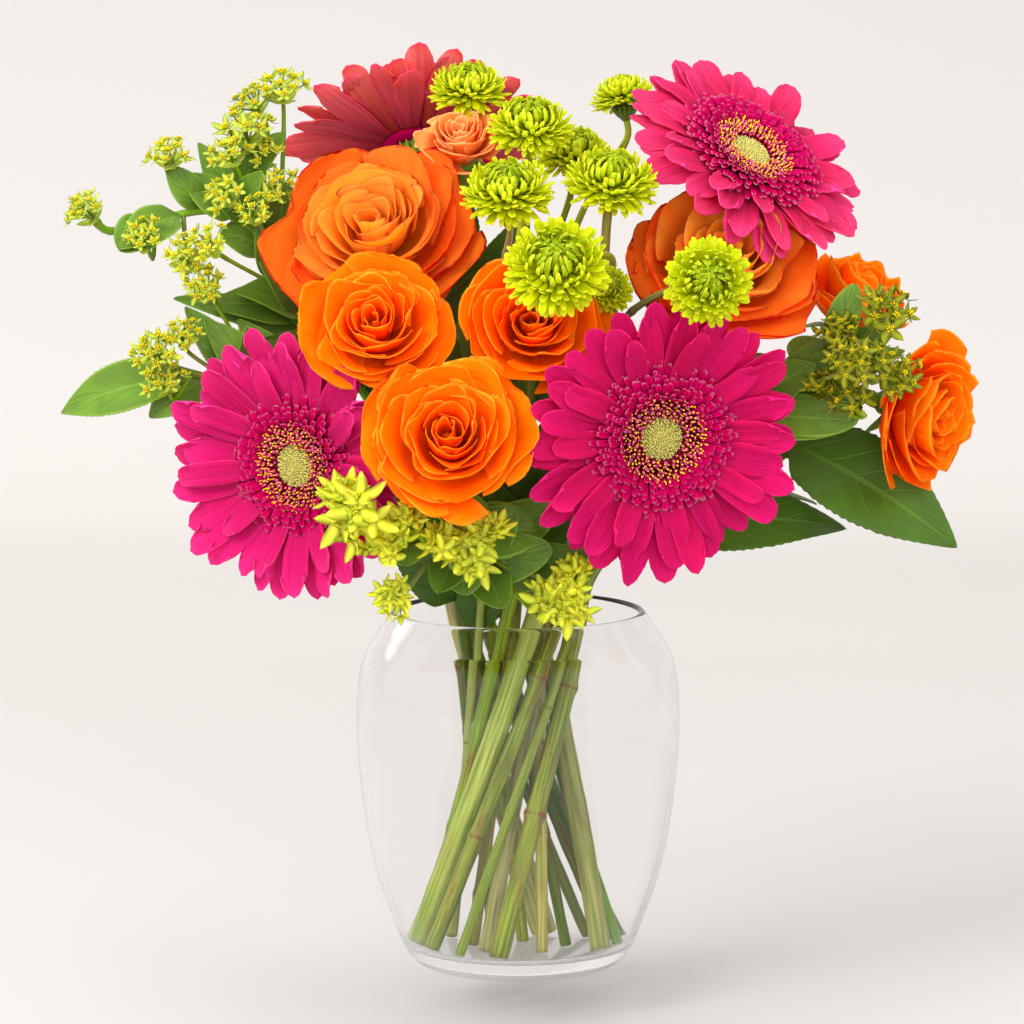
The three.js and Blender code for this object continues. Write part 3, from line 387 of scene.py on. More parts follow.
def smooth_path(knots, step):
    """Points at even steps of arc length on the centripetal spline through the knots: a cubic between each
    two, whose slopes weigh the chords on either side by the square roots of their lengths."""
    knots = np.asarray(knots, float)
    knots = np.vstack([2 * knots[0] - knots[1], knots, 2 * knots[-1] - knots[-2]])
    gap = np.sqrt(np.linalg.norm(np.diff(knots, axis=0), axis=1))[:, None]
    before, at, after = gap[:-2], gap[1:-1], gap[2:]
    a, b, c, d = knots[:-3], knots[1:-2], knots[2:-1], knots[3:]
    leave = ((b - a) / before - (c - a) / (before + at) + (c - b) / at) * at
    arrive = ((c - b) / at - (d - b) / (at + after) + (d - c) / after) * at
    t = np.linspace(0, 1, 24, endpoint=False)[:, None, None]
    cubic = (
        b * (2 * t**3 - 3 * t**2 + 1) + leave * (t**3 - 2 * t**2 + t)
        + c * (3 * t**2 - 2 * t**3) + arrive * (t**3 - t**2)
    )
    dense = np.vstack([cubic.transpose(1, 0, 2).reshape(-1, 3), knots[-2]])
    length = np.concatenate([[0], np.cumsum(np.linalg.norm(np.diff(dense, axis=0), axis=1))])
    even = np.linspace(0, length[-1], max(4, int(length[-1] / step)))
    return np.stack([np.interp(even, length, dense[:, k]) for k in range(3)], axis=1)


def along_path(path, share):
    """The point at a share of a path."""
    place = share * (len(path) - 1)
    return np.stack([np.interp(place, np.arange(len(path)), path[:, k]) for k in range(3)], axis=-1)


def tube(path, radius, sides):
    """A closed tube along a path: rings of a radius for each row across the path, with both ends drawn to a
    point. The rings keep one side level with the plane in which the path bends."""
    way = unit(np.gradient(path, axis=0))
    bend = np.cross(way[0], way[-1])
    bend = bend if np.linalg.norm(bend) > 0.05 else np.cross(way[0], (1.0, 0.3, 0.0))
    up = unit(bend - (way @ bend)[:, None] * way)
    side = np.cross(up, way)
    angle = np.arange(sides) / sides * TURN
    spokes = side[:, None] * np.cos(angle)[:, None] + up[:, None] * np.sin(angle)[:, None]
    rings = path[:, None] + spokes * np.broadcast_to(radius, len(path))[:, None, None]
    ends = np.repeat(path[[0, -1], None], sides, axis=1)
    return np.concatenate([ends[:1], rings, ends[1:]])[None]


def revolved(profile, sides):
    """A surface turned round Z from rows of (radius, height). It closes where they start and end on the
    axis."""
    profile = np.asarray(profile, float)
    angle = np.arange(sides) / sides * TURN
    return round_z(profile[:, :1], angle[None], profile[:, 1:])[None]


class Piece:
    """A piece in the making: grids whose columns close into loops, each with its grow, its lot and its
    finish."""

    def __init__(self):
        self.points, self.faces, self.grow, self.lot, self.finish = [], [], [], [], []
        self.count = 0

    def add(self, points, grow=0.0, lot=0.0, finish=0):
        pieces, rows, columns = points.shape[:3]
        index = np.arange(pieces * rows * columns).reshape(pieces, rows, columns) + self.count
        right = np.roll(index, -1, axis=2)
        quads = np.stack([index[:, :-1], right[:, :-1], right[:, 1:], index[:, 1:]], axis=-1).reshape(-1, 4)
        self.points.append(points.reshape(-1, 3))
        self.faces.append(quads)
        self.grow.append(np.broadcast_to(grow, points.shape).reshape(-1, 3))
        self.lot.append(np.broadcast_to(lot, points.shape).reshape(-1, 3))
        self.finish.append(np.full(len(quads), finish))
        self.count += pieces * rows * columns

    def add_sheet(self, sheet, rows, columns, layer, draws, thickness, finish=0):
        """Adds a sheet of petals with a wall. Each petal has a draw, 1 on its face and 0 on its underside,
        and a second draw."""
        pieces = len(sheet)
        across = np.concatenate([columns, columns[::-1]])
        grow = points_of(across[None, None, :], rows[None, :, None], column(np.broadcast_to(layer, pieces)))
        side = np.repeat([1.0, 0.0], len(columns))
        first, second = draws.random((2, pieces))
        lot = points_of(column(first), side[None, None, :], column(second))
        lot = np.broadcast_to(lot, (pieces, len(rows), len(side), 3))
        self.add(walled(sheet, thickness), grow, lot, finish)

    def made(self, name, finishes, slot, node):
        """Puts the piece into the scene in place of a node. Points that coincide are merged, which closes
        poles and pinched edges."""
        mesh = bpy.data.meshes.new(name)
        mesh.from_pydata(np.concatenate(self.points) * MM, [], np.concatenate(self.faces))
        for title, rows in (("grow", self.grow), ("lot", self.lot)):
            layer = mesh.attributes.new(title, "FLOAT_VECTOR", "POINT")
            layer.data.foreach_set("vector", np.concatenate(rows).astype(np.float32).ravel())
        mesh.polygons.foreach_set("material_index", np.concatenate(self.finish).astype(np.int32))
        for title in finishes:
            mesh.materials.append(FINISHES[title])
        shape = bmesh.new()
        shape.from_mesh(mesh)
        bmesh.ops.remove_doubles(shape, verts=shape.verts, dist=MERGE)
        shape.to_mesh(mesh)
        shape.free()
        mesh.polygons.foreach_set("use_smooth", np.ones(len(mesh.polygons), bool))
        piece = bpy.data.objects.new(name, mesh)
        bpy.context.collection.objects.link(piece)
        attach(piece, RIDES_ON)
        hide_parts(node)


# ---------------------------------------------------------------- finishes


def linear(colour):
    """Red, green and blue of 0 to 255, as seen, to the linear values that shaders take."""
    c = np.asarray(colour, float) / 255
    return (*np.where(c <= 0.04045, c / 12.92, ((c + 0.055) / 1.055) ** 2.4), 1.0)


FINISHES = {}


class Finish:
    """A material in the making. Each node is added as the output that the next one takes."""

    def __init__(self, name, **sockets):
        self.material = FINISHES[name] = bpy.data.materials.new(name)
        self.material.use_nodes = True
        self.tree = self.material.node_tree
        self.shader = self.tree.nodes["Principled BSDF"]
        for title, value in sockets.items():
            self.feed(self.shader.inputs[title.replace("_", " ")], value)

    def feed(self, socket, value):
        if isinstance(value, bpy.types.NodeSocket):
            self.tree.links.new(value, socket)
        else:
            socket.default_value = value

    def node(self, kind, inputs=(), output=0, **settings):
        node = self.tree.nodes.new("ShaderNode" + kind)
        for key, value in settings.items():
            setattr(node, key, value)
        for key, value in dict(inputs).items():
            self.feed(node.inputs[key], value)
        return node.outputs[output]

    def reading(self, attribute):
        """The three values of one of the vectors that each point carries."""
        vector = self.node("Attribute", output="Vector", attribute_name=attribute)
        return list(self.node("SeparateXYZ", {0: vector}).node.outputs)

    def math(self, operation, *values):
        return self.node("Math", dict(enumerate(values)), operation=operation)

    def scaled(self, value, factor, offset=0.0):
        """A value times a factor, plus an offset."""
        return self.math("MULTIPLY_ADD", value, factor, offset)

    def between(self, value, low, high):
        """0 below low, 1 above high, smooth between."""
        inputs = {"Value": value, "From Min": low, "From Max": high}
        return self.node("MapRange", inputs, interpolation_type="SMOOTHSTEP")

    def vector(self, x, y, z):
        return self.node("CombineXYZ", {0: x, 1: y, 2: z})

    def noise(self, vector, scale=1.0, detail=2.0, roughness=0.5):
        inputs = {"Vector": vector, "Scale": scale, "Detail": detail, "Roughness": roughness}
        return self.node("TexNoise", inputs)

    def object_noise(self, scale, detail=2.0, roughness=0.5):
        """Noise in the space of the whole part, in metres."""
        return self.noise(self.node("TexCoord", output="Object"), scale, detail, roughness)

    def ramp(self, value, *stops):
        """A colour for each value, from stops of (value, colour as seen)."""
        socket = self.node("ValToRGB", {0: value})
        elements = socket.node.color_ramp.elements
        for _ in stops[2:]:
            elements.new(0.5)
        for element, (place, colour) in zip(elements, stops):
            element.position = place
        for element, (place, colour) in zip(elements, stops):
            element.color = linear(colour)
        return socket

    def mixed(self, share, first, second):
        """The first colour with a share of the second."""
        inputs = {0: share, 6: first, 7: second}
        return self.node("Mix", inputs, output=2, data_type="RGBA")

    def toned(self, colour, hue, saturation, value):
        inputs = {"Hue": hue, "Saturation": saturation, "Value": value, "Color": colour}
        return self.node("HueSaturation", inputs)

    def coloured(self, colour):
        self.feed(self.shader.inputs["Base Color"], colour)

    def bumped(self, height, distance):
        """Relief of a height from 0 to 1 over a distance in millimetres."""
        inputs = {"Height": height, "Distance": distance * MM, "Strength": 1.0}
        self.feed(self.shader.inputs["Normal"], self.node("Bump", inputs))

    def lit_through(self, share, colour):
        """A share of the light that falls on one side comes through to the other in a colour."""
        through = self.node("BsdfTranslucent", {"Color": colour})
        self.shown_with(through, share)

    def shown_with(self, other, share):
        """The shader shows with a share of another."""
        both = self.node("MixShader", {0: share, 1: self.shader.outputs[0], 2: other})
        self.tree.links.new(both, self.tree.nodes["Material Output"].inputs["Surface"])


def petal_finish(
    name, along_stops, edge, underside, heart=None, heart_from=None, streaks=0.35, through=0.45, ribs=9.0,
    vein=0.12, margin_share=0.75,
):
    """A petal: a colour along its length, another at its margin and on its underside, another for the inner
    layers, lengthwise streaks and veins, and a tone of its own for each petal. Light comes through it."""
    made = Finish(name, Roughness=0.5, Specular_IOR_Level=0.04)
    across, along, layer = made.reading("grow")
    draw, side, second = made.reading("lot")
    broad = made.vector(made.scaled(across, 5.0), made.scaled(along, 0.9), made.scaled(draw, 37.0))
    thin = made.vector(made.scaled(across, 22.0), made.scaled(along, 2.5), made.scaled(draw, 53.0))
    streak, fine = made.noise(broad, 1.0, 4.0), made.noise(thin, 1.0, 2.0)
    place = made.math("ADD", along, made.scaled(streak, 0.2, -0.1))
    colour = made.ramp(place, *along_stops)
    if heart:
        inner = made.between(made.math("ADD", layer, made.scaled(streak, 0.3, -0.15)), *heart_from)
        colour = made.mixed(inner, colour, made.ramp(place, *heart))
    reach = made.math("MULTIPLY", across, across)
    margin = made.math("MAXIMUM", made.between(reach, 0.7, 1.05), made.between(along, 0.92, 1.03))
    colour = made.mixed(made.scaled(margin, margin_share), colour, linear(edge))
    value = made.scaled(streak, streaks * 1.6, 1.0 - streaks * 0.8)
    value = made.math("ADD", value, made.scaled(fine, 0.3, -0.15))
    value = made.math("ADD", value, made.scaled(draw, 0.16, -0.08))
    colour = made.toned(colour, made.scaled(second, 0.016, 0.492), 1.0, value)
    below = made.mixed(0.6, colour, linear(underside))
    colour = made.mixed(made.between(side, 0.3, 0.6), below, colour)
    made.coloured(colour)
    rib = made.math("SINE", made.scaled(across, ribs * math.pi))
    made.bumped(made.math("ADD", made.scaled(rib, 0.5), made.scaled(fine, 0.9)), vein)
    made.lit_through(through, made.toned(colour, 0.5, 1.15, 1.05))


def stem_finish(name, green, pale, brown, mottle, ridges=0.0):
    """A stem: green with pale and brown stretches, lengthwise fibres, dark joints and a pale cut end. Its
    grow vectors are (cosine of the angle round it, along in decimetres, sine of the angle)."""
    made = Finish(name, Roughness=0.42, Specular_IOR_Level=0.45)
    east, along, north = made.reading("grow")
    draw, joint, cut = made.reading("lot")
    own = made.scaled(draw, 31.0)
    drawn_out = made.math("ADD", made.scaled(along, 1.6), own)
    slim = made.vector(made.scaled(east, 2.2), drawn_out, made.scaled(north, 2.2))
    fibres = made.noise(slim, 1.6, 2.0, 0.4)
    shorter = made.math("ADD", made.scaled(along, 4.5), own)
    patches = made.noise(made.vector(east, shorter, north), 1.0, 4.0, 0.65)
    colour = made.mixed(made.between(fibres, 0.3, 0.75), linear(green), linear(pale))
    colour = made.mixed(made.scaled(made.between(patches, 0.48, 0.72), mottle), colour, linear(brown))
    scar = made.between(made.math("ADD", joint, made.scaled(patches, 1.6, -0.8)), 0.7, 1.0)
    colour = made.mixed(made.scaled(scar, 0.85), colour, linear(brown))
    other = made.math("FRACT", made.scaled(draw, 7.3))
    tone = made.scaled(draw, 0.75, 0.62)
    colour = made.toned(colour, made.scaled(other, 0.07, 0.462), made.scaled(other, 0.35, 0.82), tone)
    made.coloured(made.mixed(cut, colour, linear((214, 218, 160))))
    ridge = made.math("SINE", made.scaled(made.math("ARCTAN2", north, east), 7.0))
    made.bumped(made.math("ADD", made.scaled(ridge, ridges), fibres), 0.12)


def leaf_finish(name, dark, light, vein, side_veins=7.0, slant=1.7, through=0.3, rim=None):
    """A leaf: pale midrib and side veins that slant to the tip, mottled green between them, and a paler
    underside. A vein lies where its count along the leaf, less a slant across it, is whole."""
    made = Finish(name, Roughness=0.38, Specular_IOR_Level=0.35, Coat_Weight=0.06, Coat_Roughness=0.25)
    across, along, _ = made.reading("grow")
    draw, side, second = made.reading("lot")
    reach = made.math("ABSOLUTE", across)
    count = made.math("SUBTRACT", made.scaled(along, side_veins), made.scaled(reach, slant))
    part = made.math("FRACT", made.math("ADD", count, 9.0))
    place = made.math("ABSOLUTE", made.math("SUBTRACT", part, 0.5))
    veins = made.between(place, 0.43, 0.5)
    veins = made.math("MULTIPLY", veins, made.between(reach, 1.0, 0.4))
    midrib = made.between(reach, 0.09, 0.02)
    net = made.object_noise(900.0, 3.0, 0.6)
    patches = made.object_noise(70.0, 2.0)
    colour = made.mixed(made.between(patches, 0.3, 0.7), linear(dark), linear(light))
    colour = made.mixed(made.scaled(made.math("MAXIMUM", veins, midrib), 0.55), colour, linear(vein))
    if rim:
        colour = made.mixed(made.between(reach, 0.86, 0.98), colour, linear(rim))
    colour = made.toned(colour, made.scaled(second, 0.02, 0.49), 1.0, made.scaled(draw, 0.3, 0.86))
    pale = made.mixed(0.45, colour, linear(vein))
    made.coloured(made.mixed(made.between(side, 0.3, 0.6), pale, colour))
    made.bumped(made.math("SUBTRACT", made.scaled(net, 0.35), made.math("MAXIMUM", veins, midrib)), 0.25)
    made.lit_through(through, made.toned(colour, 0.49, 1.1, 1.3))


def bract_finish(name, dark, light, vein, through, rim=None):
    """A bract or sepal: a leaf that shows only its midrib."""
    leaf_finish(name, dark, light, vein, 0.0, 0.0, through, rim)


def bud_finish(name, *stops):
    """Small buds, florets and anthers: a colour along each one, and a tone of its own."""
    made = Finish(name, Roughness=0.6, Specular_IOR_Level=0.3)
    _, along, _ = made.reading("grow")
    draw, _, second = made.reading("lot")
    colour = made.ramp(along, *stops)
    grain = made.object_noise(2500.0, 2.0)
    value = made.math("ADD", made.scaled(draw, 0.5, 0.6), made.scaled(grain, 0.4))
    colour = made.toned(colour, made.scaled(second, 0.03, 0.485), 1.0, value)
    made.coloured(colour)
    made.bumped(grain, 0.08)
    made.lit_through(0.2, colour)


def clear_finish(name, unbent=0.0, passed=0.97):
    """Glass, clear all through, with a share that passes light unbent. Lamps shine straight through it,
    dimmed to the passed share, so that what stands behind is lit."""
    made = Finish(name, Base_Color=GLASS_COLOUR, Roughness=0.0, IOR=GLASS_BEND, Transmission_Weight=1.0)
    straight = made.node("BsdfTransparent", {"Color": (passed, passed, passed, 1)})
    made.shown_with(straight, made.math("MAXIMUM", made.node("LightPath", output="Is Shadow Ray"), unbent))


def water_finish(name):
    """Water bends light a little where it enters, and lets it out into the glass unbent."""
    made = Finish(name, Base_Color=(1, 1, 1, 1), Roughness=0.0, IOR=WATER_BEND, Transmission_Weight=1.0)
    leaving = made.node("NewGeometry", output="Backfacing")
    shade = made.node("LightPath", output="Is Shadow Ray")
    made.shown_with(made.node("BsdfTransparent"), made.math("MAXIMUM", leaving, shade))


def still_finish(name):
    """The level top of still water: nearly all of what lies below shows, with a faint gloss."""
    made = Finish(name, Base_Color=(1, 1, 1, 1), Roughness=0.02, IOR=WATER_BEND, Transmission_Weight=1.0)
    made.shown_with(made.node("BsdfTransparent"), 1 - STILL_GLOSS)


petal_finish(
    "pink_ray", [(0.0, (160, 0, 50)), (0.3, (202, 0, 74)), (0.65, (222, 0, 92)), (0.95, (236, 24, 124))],
    (246, 66, 150), (200, 30, 100), streaks=0.5, margin_share=0.45)
petal_finish(
    "light_ray", [(0.0, (160, 0, 62)), (0.3, (204, 0, 90)), (0.65, (224, 4, 120)), (0.95, (240, 56, 156))],
    (250, 104, 180), (210, 40, 110), streaks=0.5, margin_share=0.5)
petal_finish(
    "coral_ray", [(0.0, (184, 4, 62)), (0.3, (216, 8, 92)), (0.65, (234, 28, 120)), (0.95, (248, 84, 162))],
    (250, 96, 172), (200, 50, 80), streaks=0.5, margin_share=0.4)
petal_finish(
    "dull_ray", [(0.0, (170, 30, 46)), (0.4, (218, 78, 84)), (0.9, (236, 114, 116))],
    (240, 62, 122), (222, 96, 78), streaks=0.5)
# The white-pink last stop at the very tip of each crown floret is a painted glint.
petal_finish(
    "pink_floret",
    [(0.0, (104, 0, 34)), (0.5, (210, 0, 90)), (0.92, (240, 16, 126)), (0.985, (255, 210, 232))],
    (252, 84, 170), (214, 0, 94), streaks=0.2, margin_share=0.4)
# The red-orange foot of each petal is partly its own colour and partly painted shade of the depths between
# petals; the pale gold margin is partly its own edge colour and partly a painted highlight on the rolled
# rims.
petal_finish(
    "orange_petal",
    [(0.0, (216, 32, 0)), (0.32, (252, 98, 0)), (0.65, (255, 140, 2)), (0.95, (255, 170, 18))],
    (255, 204, 70), (255, 138, 8), streaks=0.22, through=0.6, ribs=0.0, vein=0.08, margin_share=0.85)
petal_finish(
    "two_tone_petal",
    [(0.0, (252, 120, 6)), (0.4, (252, 106, 18)), (0.75, (246, 80, 26)), (0.97, (230, 44, 30))],
    (212, 24, 30), (252, 156, 40), [(0.0, (255, 178, 0)), (0.5, (255, 214, 44)), (0.97, (255, 228, 110))],
    (0.74, 0.38), streaks=0.3, through=0.62, ribs=0.0, vein=0.08)
petal_finish(
    "peach_petal", [(0.0, (236, 100, 10)), (0.5, (250, 150, 54)), (0.95, (254, 196, 120))],
    (254, 214, 156), (252, 170, 84), streaks=0.14, ribs=0.0, vein=0.06)
petal_finish(
    "button_petal",
    [(0.0, (96, 112, 0)), (0.35, (172, 188, 0)), (0.7, (224, 232, 8)), (0.95, (244, 248, 60))],
    (246, 248, 96), (206, 214, 6), [(0.0, (56, 80, 0)), (0.6, (104, 136, 0)), (0.95, (160, 186, 10))],
    (0.62, 0.28), streaks=0.1, through=0.48, ribs=3.0, vein=0.1)
bud_finish("anther", (0.0, (120, 0, 30)), (0.45, (200, 90, 0)), (0.75, (255, 208, 20)))
# The pale pink last stop at each ring floret's tip is a painted glint.
bud_finish(
    "ring_floret", (0.0, (70, 0, 16)), (0.5, (140, 0, 44)), (0.86, (196, 8, 76)), (0.99, (236, 110, 164)))
bud_finish("eye", (0.0, (104, 96, 20)), (0.6, (176, 166, 70)), (1.0, (214, 206, 126)))
bud_finish("lime_floret", (0.0, (160, 170, 0)), (0.6, (216, 206, 0)), (1.0, (244, 232, 60)))
bud_finish("gold_floret", (0.0, (140, 140, 0)), (0.6, (210, 186, 0)), (1.0, (236, 214, 30)))
bract_finish("lime_bract", (164, 186, 2), (226, 232, 32), (236, 238, 92), 0.5, (224, 232, 84))
bract_finish("green_bract", (126, 160, 14), (194, 214, 46), (216, 226, 96), 0.4, (222, 228, 84))
bract_finish("olive_bract", (62, 76, 2), (122, 128, 8), (160, 160, 30), 0.3, (170, 176, 50))
bract_finish("sepal", (52, 92, 6), (96, 138, 20), (130, 164, 50), 0.3)
leaf_finish("wax_leaf", (32, 76, 6), (78, 124, 18), (132, 164, 62), 5.0, 2.4, 0.22, (120, 156, 36))
leaf_finish("leaf", (16, 46, 2), (42, 82, 8), (98, 136, 38), through=0.16)
stem_finish("gerbera_stem", (114, 142, 22), (192, 192, 104), (126, 90, 36), 0.4)
stem_finish("rose_stem", (70, 102, 8), (138, 148, 34), (112, 56, 20), 0.9)
stem_finish("button_stem", (118, 132, 24), (184, 178, 76), (104, 66, 24), 0.55, 0.3)
stem_finish("wax_stem", (100, 134, 14), (152, 172, 46), (116, 92, 26), 0.3)
clear_finish("glass")
clear_finish("glass_foot", 0.84, 0.88)
water_finish("water")
still_finish("still_water")

# ---------------------------------------------------------------- vase and water


def vase_side(inset):
    """The outer side as rows of (radius, height), moved inwards along its normal by an inset."""
    line = smooth_path([(r, h, 0) for r, h in (*VASE_SIDE, VASE_RIM)], 1.3)[:, :2]
    way = unit(np.gradient(line, axis=0))
    return line + inset * way[:, ::-1] * (-1, 1)


def vase_inside(inset, floor):
    """The inner side from the middle of the floor up: flat, a round turn at the edge, then the wall."""
    side = vase_side(inset)
    side = side[side[:, 1] > floor + 7]
    bowl = [(40, floor), (44.6, floor + 0.5), (48.4, floor + 2.8), *side[:2]]
    turn = smooth_path([(r, h, 0) for r, h in bowl], 0.9)[:, :2]
    return np.vstack([[(0, floor), (20, floor), (36, floor)], turn, side[2:]])


def make_vase():
    """The glass: a foot a little hollow below, the outer side, a half-round rim, and the inner side down to a
    thick floor, all turned round the axis. The foot has a finish of its own."""
    outside = vase_side(0)[3:-1]
    inside = vase_inside(VASE_WALL, VASE_FLOOR)[:-1]
    middle = (outside[-1] + inside[-1]) / 2
    arm = outside[-1] - middle
    angle = np.linspace(0, math.pi, 9)[1:-1, None]
    rim = middle + arm * np.cos(angle) + arm[::-1] * (-1, 1) * np.sin(angle)
    foot = [(0, 1), (28, 0.9), (38, 0.3), (41.5, 0), (43.6, 0.1), (45.2, 0.9), (46.4, 2)]
    inside = inside[::-1]
    piece = Piece()
    piece.add(revolved(np.vstack([foot, outside[:2]]), VASE_SIDES), finish=1)
    piece.add(revolved(np.vstack([outside[1:], rim, inside]), VASE_SIDES))
    piece.made("glass_vase", ["glass", "glass_foot"], "clear_glass", "vase")


def make_water():
    """The water: the inner side of the glass less a hair, and a level top that climbs a little at the
    glass."""
    side = vase_inside(VASE_WALL + WATER_GAP, VASE_FLOOR + WATER_GAP)
    side = side[side[:, 1] < WATER_LEVEL]
    edge = side[-1]
    level = WATER_LEVEL - 1.3
    climb = [(edge[0] - 0.5, WATER_LEVEL - 0.5), (edge[0] - 2, WATER_LEVEL - 1.1), (edge[0] - 5, level)]
    top = [*climb, (0, level)]
    piece = Piece()
    piece.add(revolved(side, VASE_SIDES))
    piece.add(revolved(np.vstack([edge, top]), VASE_SIDES), finish=1)
    piece.made("vase_water", ["water", "still_water"], "water", "water")


# ---------------------------------------------------------------- small buds


def add_spindles(piece, at, way, radius, length, profile, draws, finish, head=None):
    """Small turned bodies of five sides, one for each place, along each one's way. The profile is rows of
    (share of the length, share of the radius), from the axis at the foot to the axis at the tip."""
    share, width = np.asarray(profile, float).T
    angle = np.arange(5) / 5 * TURN
    ring = np.stack([np.cos(angle), np.sin(angle)], axis=-1)
    across = np.asarray(radius, float).reshape(-1, 1, 1, 1) * width[None, :, None, None] * ring[None, None]
    along = np.asarray(length, float).reshape(-1, 1, 1) * share[None, :, None]
    along = np.broadcast_to(along, across.shape[:3])
    grid = set_on(np.concatenate([across, along[..., None]], axis=-1), at, way)
    first, second = draws.random((2, len(grid)))
    grow = points_of(0.0, share[None, :, None], np.zeros(grid.shape[:3]))
    lot = points_of(column(first), 1.0, np.broadcast_to(column(second), grid.shape[:3]))
    piece.add(placed(grid, head) if head else grid, grow, lot, finish)


BUD = [(0, 0), (0, 0.7), (0.35, 1), (0.75, 0.85), (1, 0.0)]
OPEN_FLORET = [(0, 0), (0, 0.4), (0.55, 0.5), (0.9, 1.0), (1.0, 0.75), (0.72, 0)]
ANTHER = [(0, 0), (0, 0.5), (0.6, 0.5), (0.8, 1), (1, 0)]

# ---------------------------------------------------------------- gerbera

# Rings of ray petals: count, reach as a share, height at the root, extra cup in degrees, half width.
RAYS = [(22, 1.03, 1.9, 0, 6.4), (21, 0.97, 3.0, 4, 6.1), (10, 0.84, 4.0, 8, 5.0)]
# Rings of inner florets round the disc: count, reach, height at the tip, half width.
CROWN = [
    (54, 33.2, 8.4, 1.6), (56, 30.8, 9.7, 1.55), (56, 28.4, 10.6, 1.5), (54, 26.0, 11.3, 1.4),
    (50, 23.6, 11.7, 1.3), (46, 21.4, 11.8, 1.2), (40, 19.4, 11.5, 1.1),
]
RAY_ROWS, RAY_COLUMNS = 20, 13
CROWN_ROWS, CROWN_COLUMNS = 8, 5
RAY_ROOT, CROWN_ROOT = 13.5, 13.6
DISC_BASE = 5.35
# What the eye carries: count, and the radius from and to.
EYE = {"floret": (240, 8.7, 17.4), "anther": (250, 8.9, 17.2), "bud": (400, 0.2, 8.7)}


def ray_sheet(head, count, share, height, cup, half, draws):
    """Ray petals in one ring, shaped as straps, with v along from root to reach and u across: a half width
    that grows over the first half; a tip rounded as a circle's arc, with two notches; the cup as a rise along
    v, with a bend of its own near the tip; edges lifted as a channel near the root; two lengthwise folds; a
    twist about the petal's own line."""
    v = dense_to_tip(RAY_ROWS)[None, :, None]
    u = dense_to_edges(RAY_COLUMNS)[None, None, :]
    sway = swaying(draws, count)
    reach = head["radius"] * share * column(draws.uniform(0.92, 1.01, count))
    tip = np.clip((v - 0.68) / 0.32, 0, 1)
    width = half * (1 + sway(0.14)) * (0.32 + 0.68 * smoothstep(0, 0.56, v)) * (1 - 0.22 * tip**2)
    rise = (reach - RAY_ROOT) * np.tan(np.radians(head["cup"] + cup + sway(5)))
    bend = column(draws.uniform(-6, 3, count)) * smoothstep(0.4, 1, v) ** 1.6
    channel = (1.7 + sway(0.9)) * u**2 * (1 - 0.7 * v) * smoothstep(0, 0.2, v)
    folds = 0.34 * np.cos(3 * math.pi * u) * smoothstep(0.02, 0.2, v) * (1 - 0.5 * tip)
    ruffle = 0.6 * np.sin(5 * v + 9 * sway(1)) * u * smoothstep(0.3, 1, v)
    y = width * u
    z = channel + folds + ruffle
    twist = sway(0.42) * v
    sideways = sway(2.6) * v**2
    rounding = half * (1.35 + sway(0.45)) * (1 - np.sqrt(1 - u**2))
    rounding = rounding - 0.25 * np.cos(3 * math.pi * u) * (1 - u**2)
    x = RAY_ROOT + (reach - RAY_ROOT) * v - 0.35 * np.abs(bend) * v - rounding * tip**2
    lift = height + rise * v**1.1 + bend + 0.8 * np.sin(math.pi * v)
    right = y * np.cos(twist) - z * np.sin(twist) + sideways
    up = lift + y * np.sin(twist) + z * np.cos(twist)
    heading = (np.arange(count) + draws.uniform(-0.22, 0.22, count)) / count * TURN
    return turned_round_z(points_of(x, right, up), column(heading)), v.ravel(), u.ravel()


def crown_sheet(count, reach, height, half, draws):
    """Short inner florets: narrow at the root, spoon-like at the end, on a rising arc whose tip hooks back
    in."""
    v = dense_to_tip(CROWN_ROWS)[None, :, None]
    u = dense_to_edges(CROWN_COLUMNS)[None, None, :]
    sway = swaying(draws, count)
    far = reach * (1 + sway(0.06))
    width = half * (0.35 + 0.65 * smoothstep(0.3, 0.85, v)) * np.sqrt(1 - np.clip((v - 0.8) / 0.2, 0, 1) ** 2)
    x = CROWN_ROOT + (far - CROWN_ROOT) * v**1.1 - 0.8 * v**8
    z = 4.2 + (height * (1 + sway(0.08)) - 4.2) * np.sin(1.75 * v) + 0.6 * u**2 * width + 0.7 * v**8
    y = width * u + sway(0.9) * v**2
    heading = (np.arange(count) + draws.uniform(-0.35, 0.35, count)) / count * TURN
    return turned_round_z(points_of(x, y, z), column(heading)), v.ravel(), u.ravel()


def make_gerbera(name, head, draws):
    """A gerbera's rays and crown with their seat, and its eye."""
    petals = Piece()
    for layer, (count, share, height, cup, half) in enumerate(RAYS):
        sheet, v, u = ray_sheet(head, count, share, height, cup, half, draws)
        petals.add_sheet(placed(sheet, head), v, u, layer / 2, draws, THICK["ray"])
    for layer, (count, reach, height, half) in enumerate(CROWN):
        sheet, v, u = crown_sheet(count, reach, height, half, draws)
        petals.add_sheet(placed(sheet, head), v, u, layer / 3, draws, THICK["crown"], 1)
    seat = revolved([(0, 0.2), (10.4, 0.2), (15.5, 1.6), (15.2, 4.0), (13.6, 4.9), (0, 5)], 40)
    petals.add(placed(seat, head), (0, 0.1, 0), (0.5, 0, 0.5), 1)
    petals.made(f"{name}_ray_petals", [head["petal"], "pink_floret"], "gerbera_petal", f"{name}_petals")
    make_eye(name, head, draws)


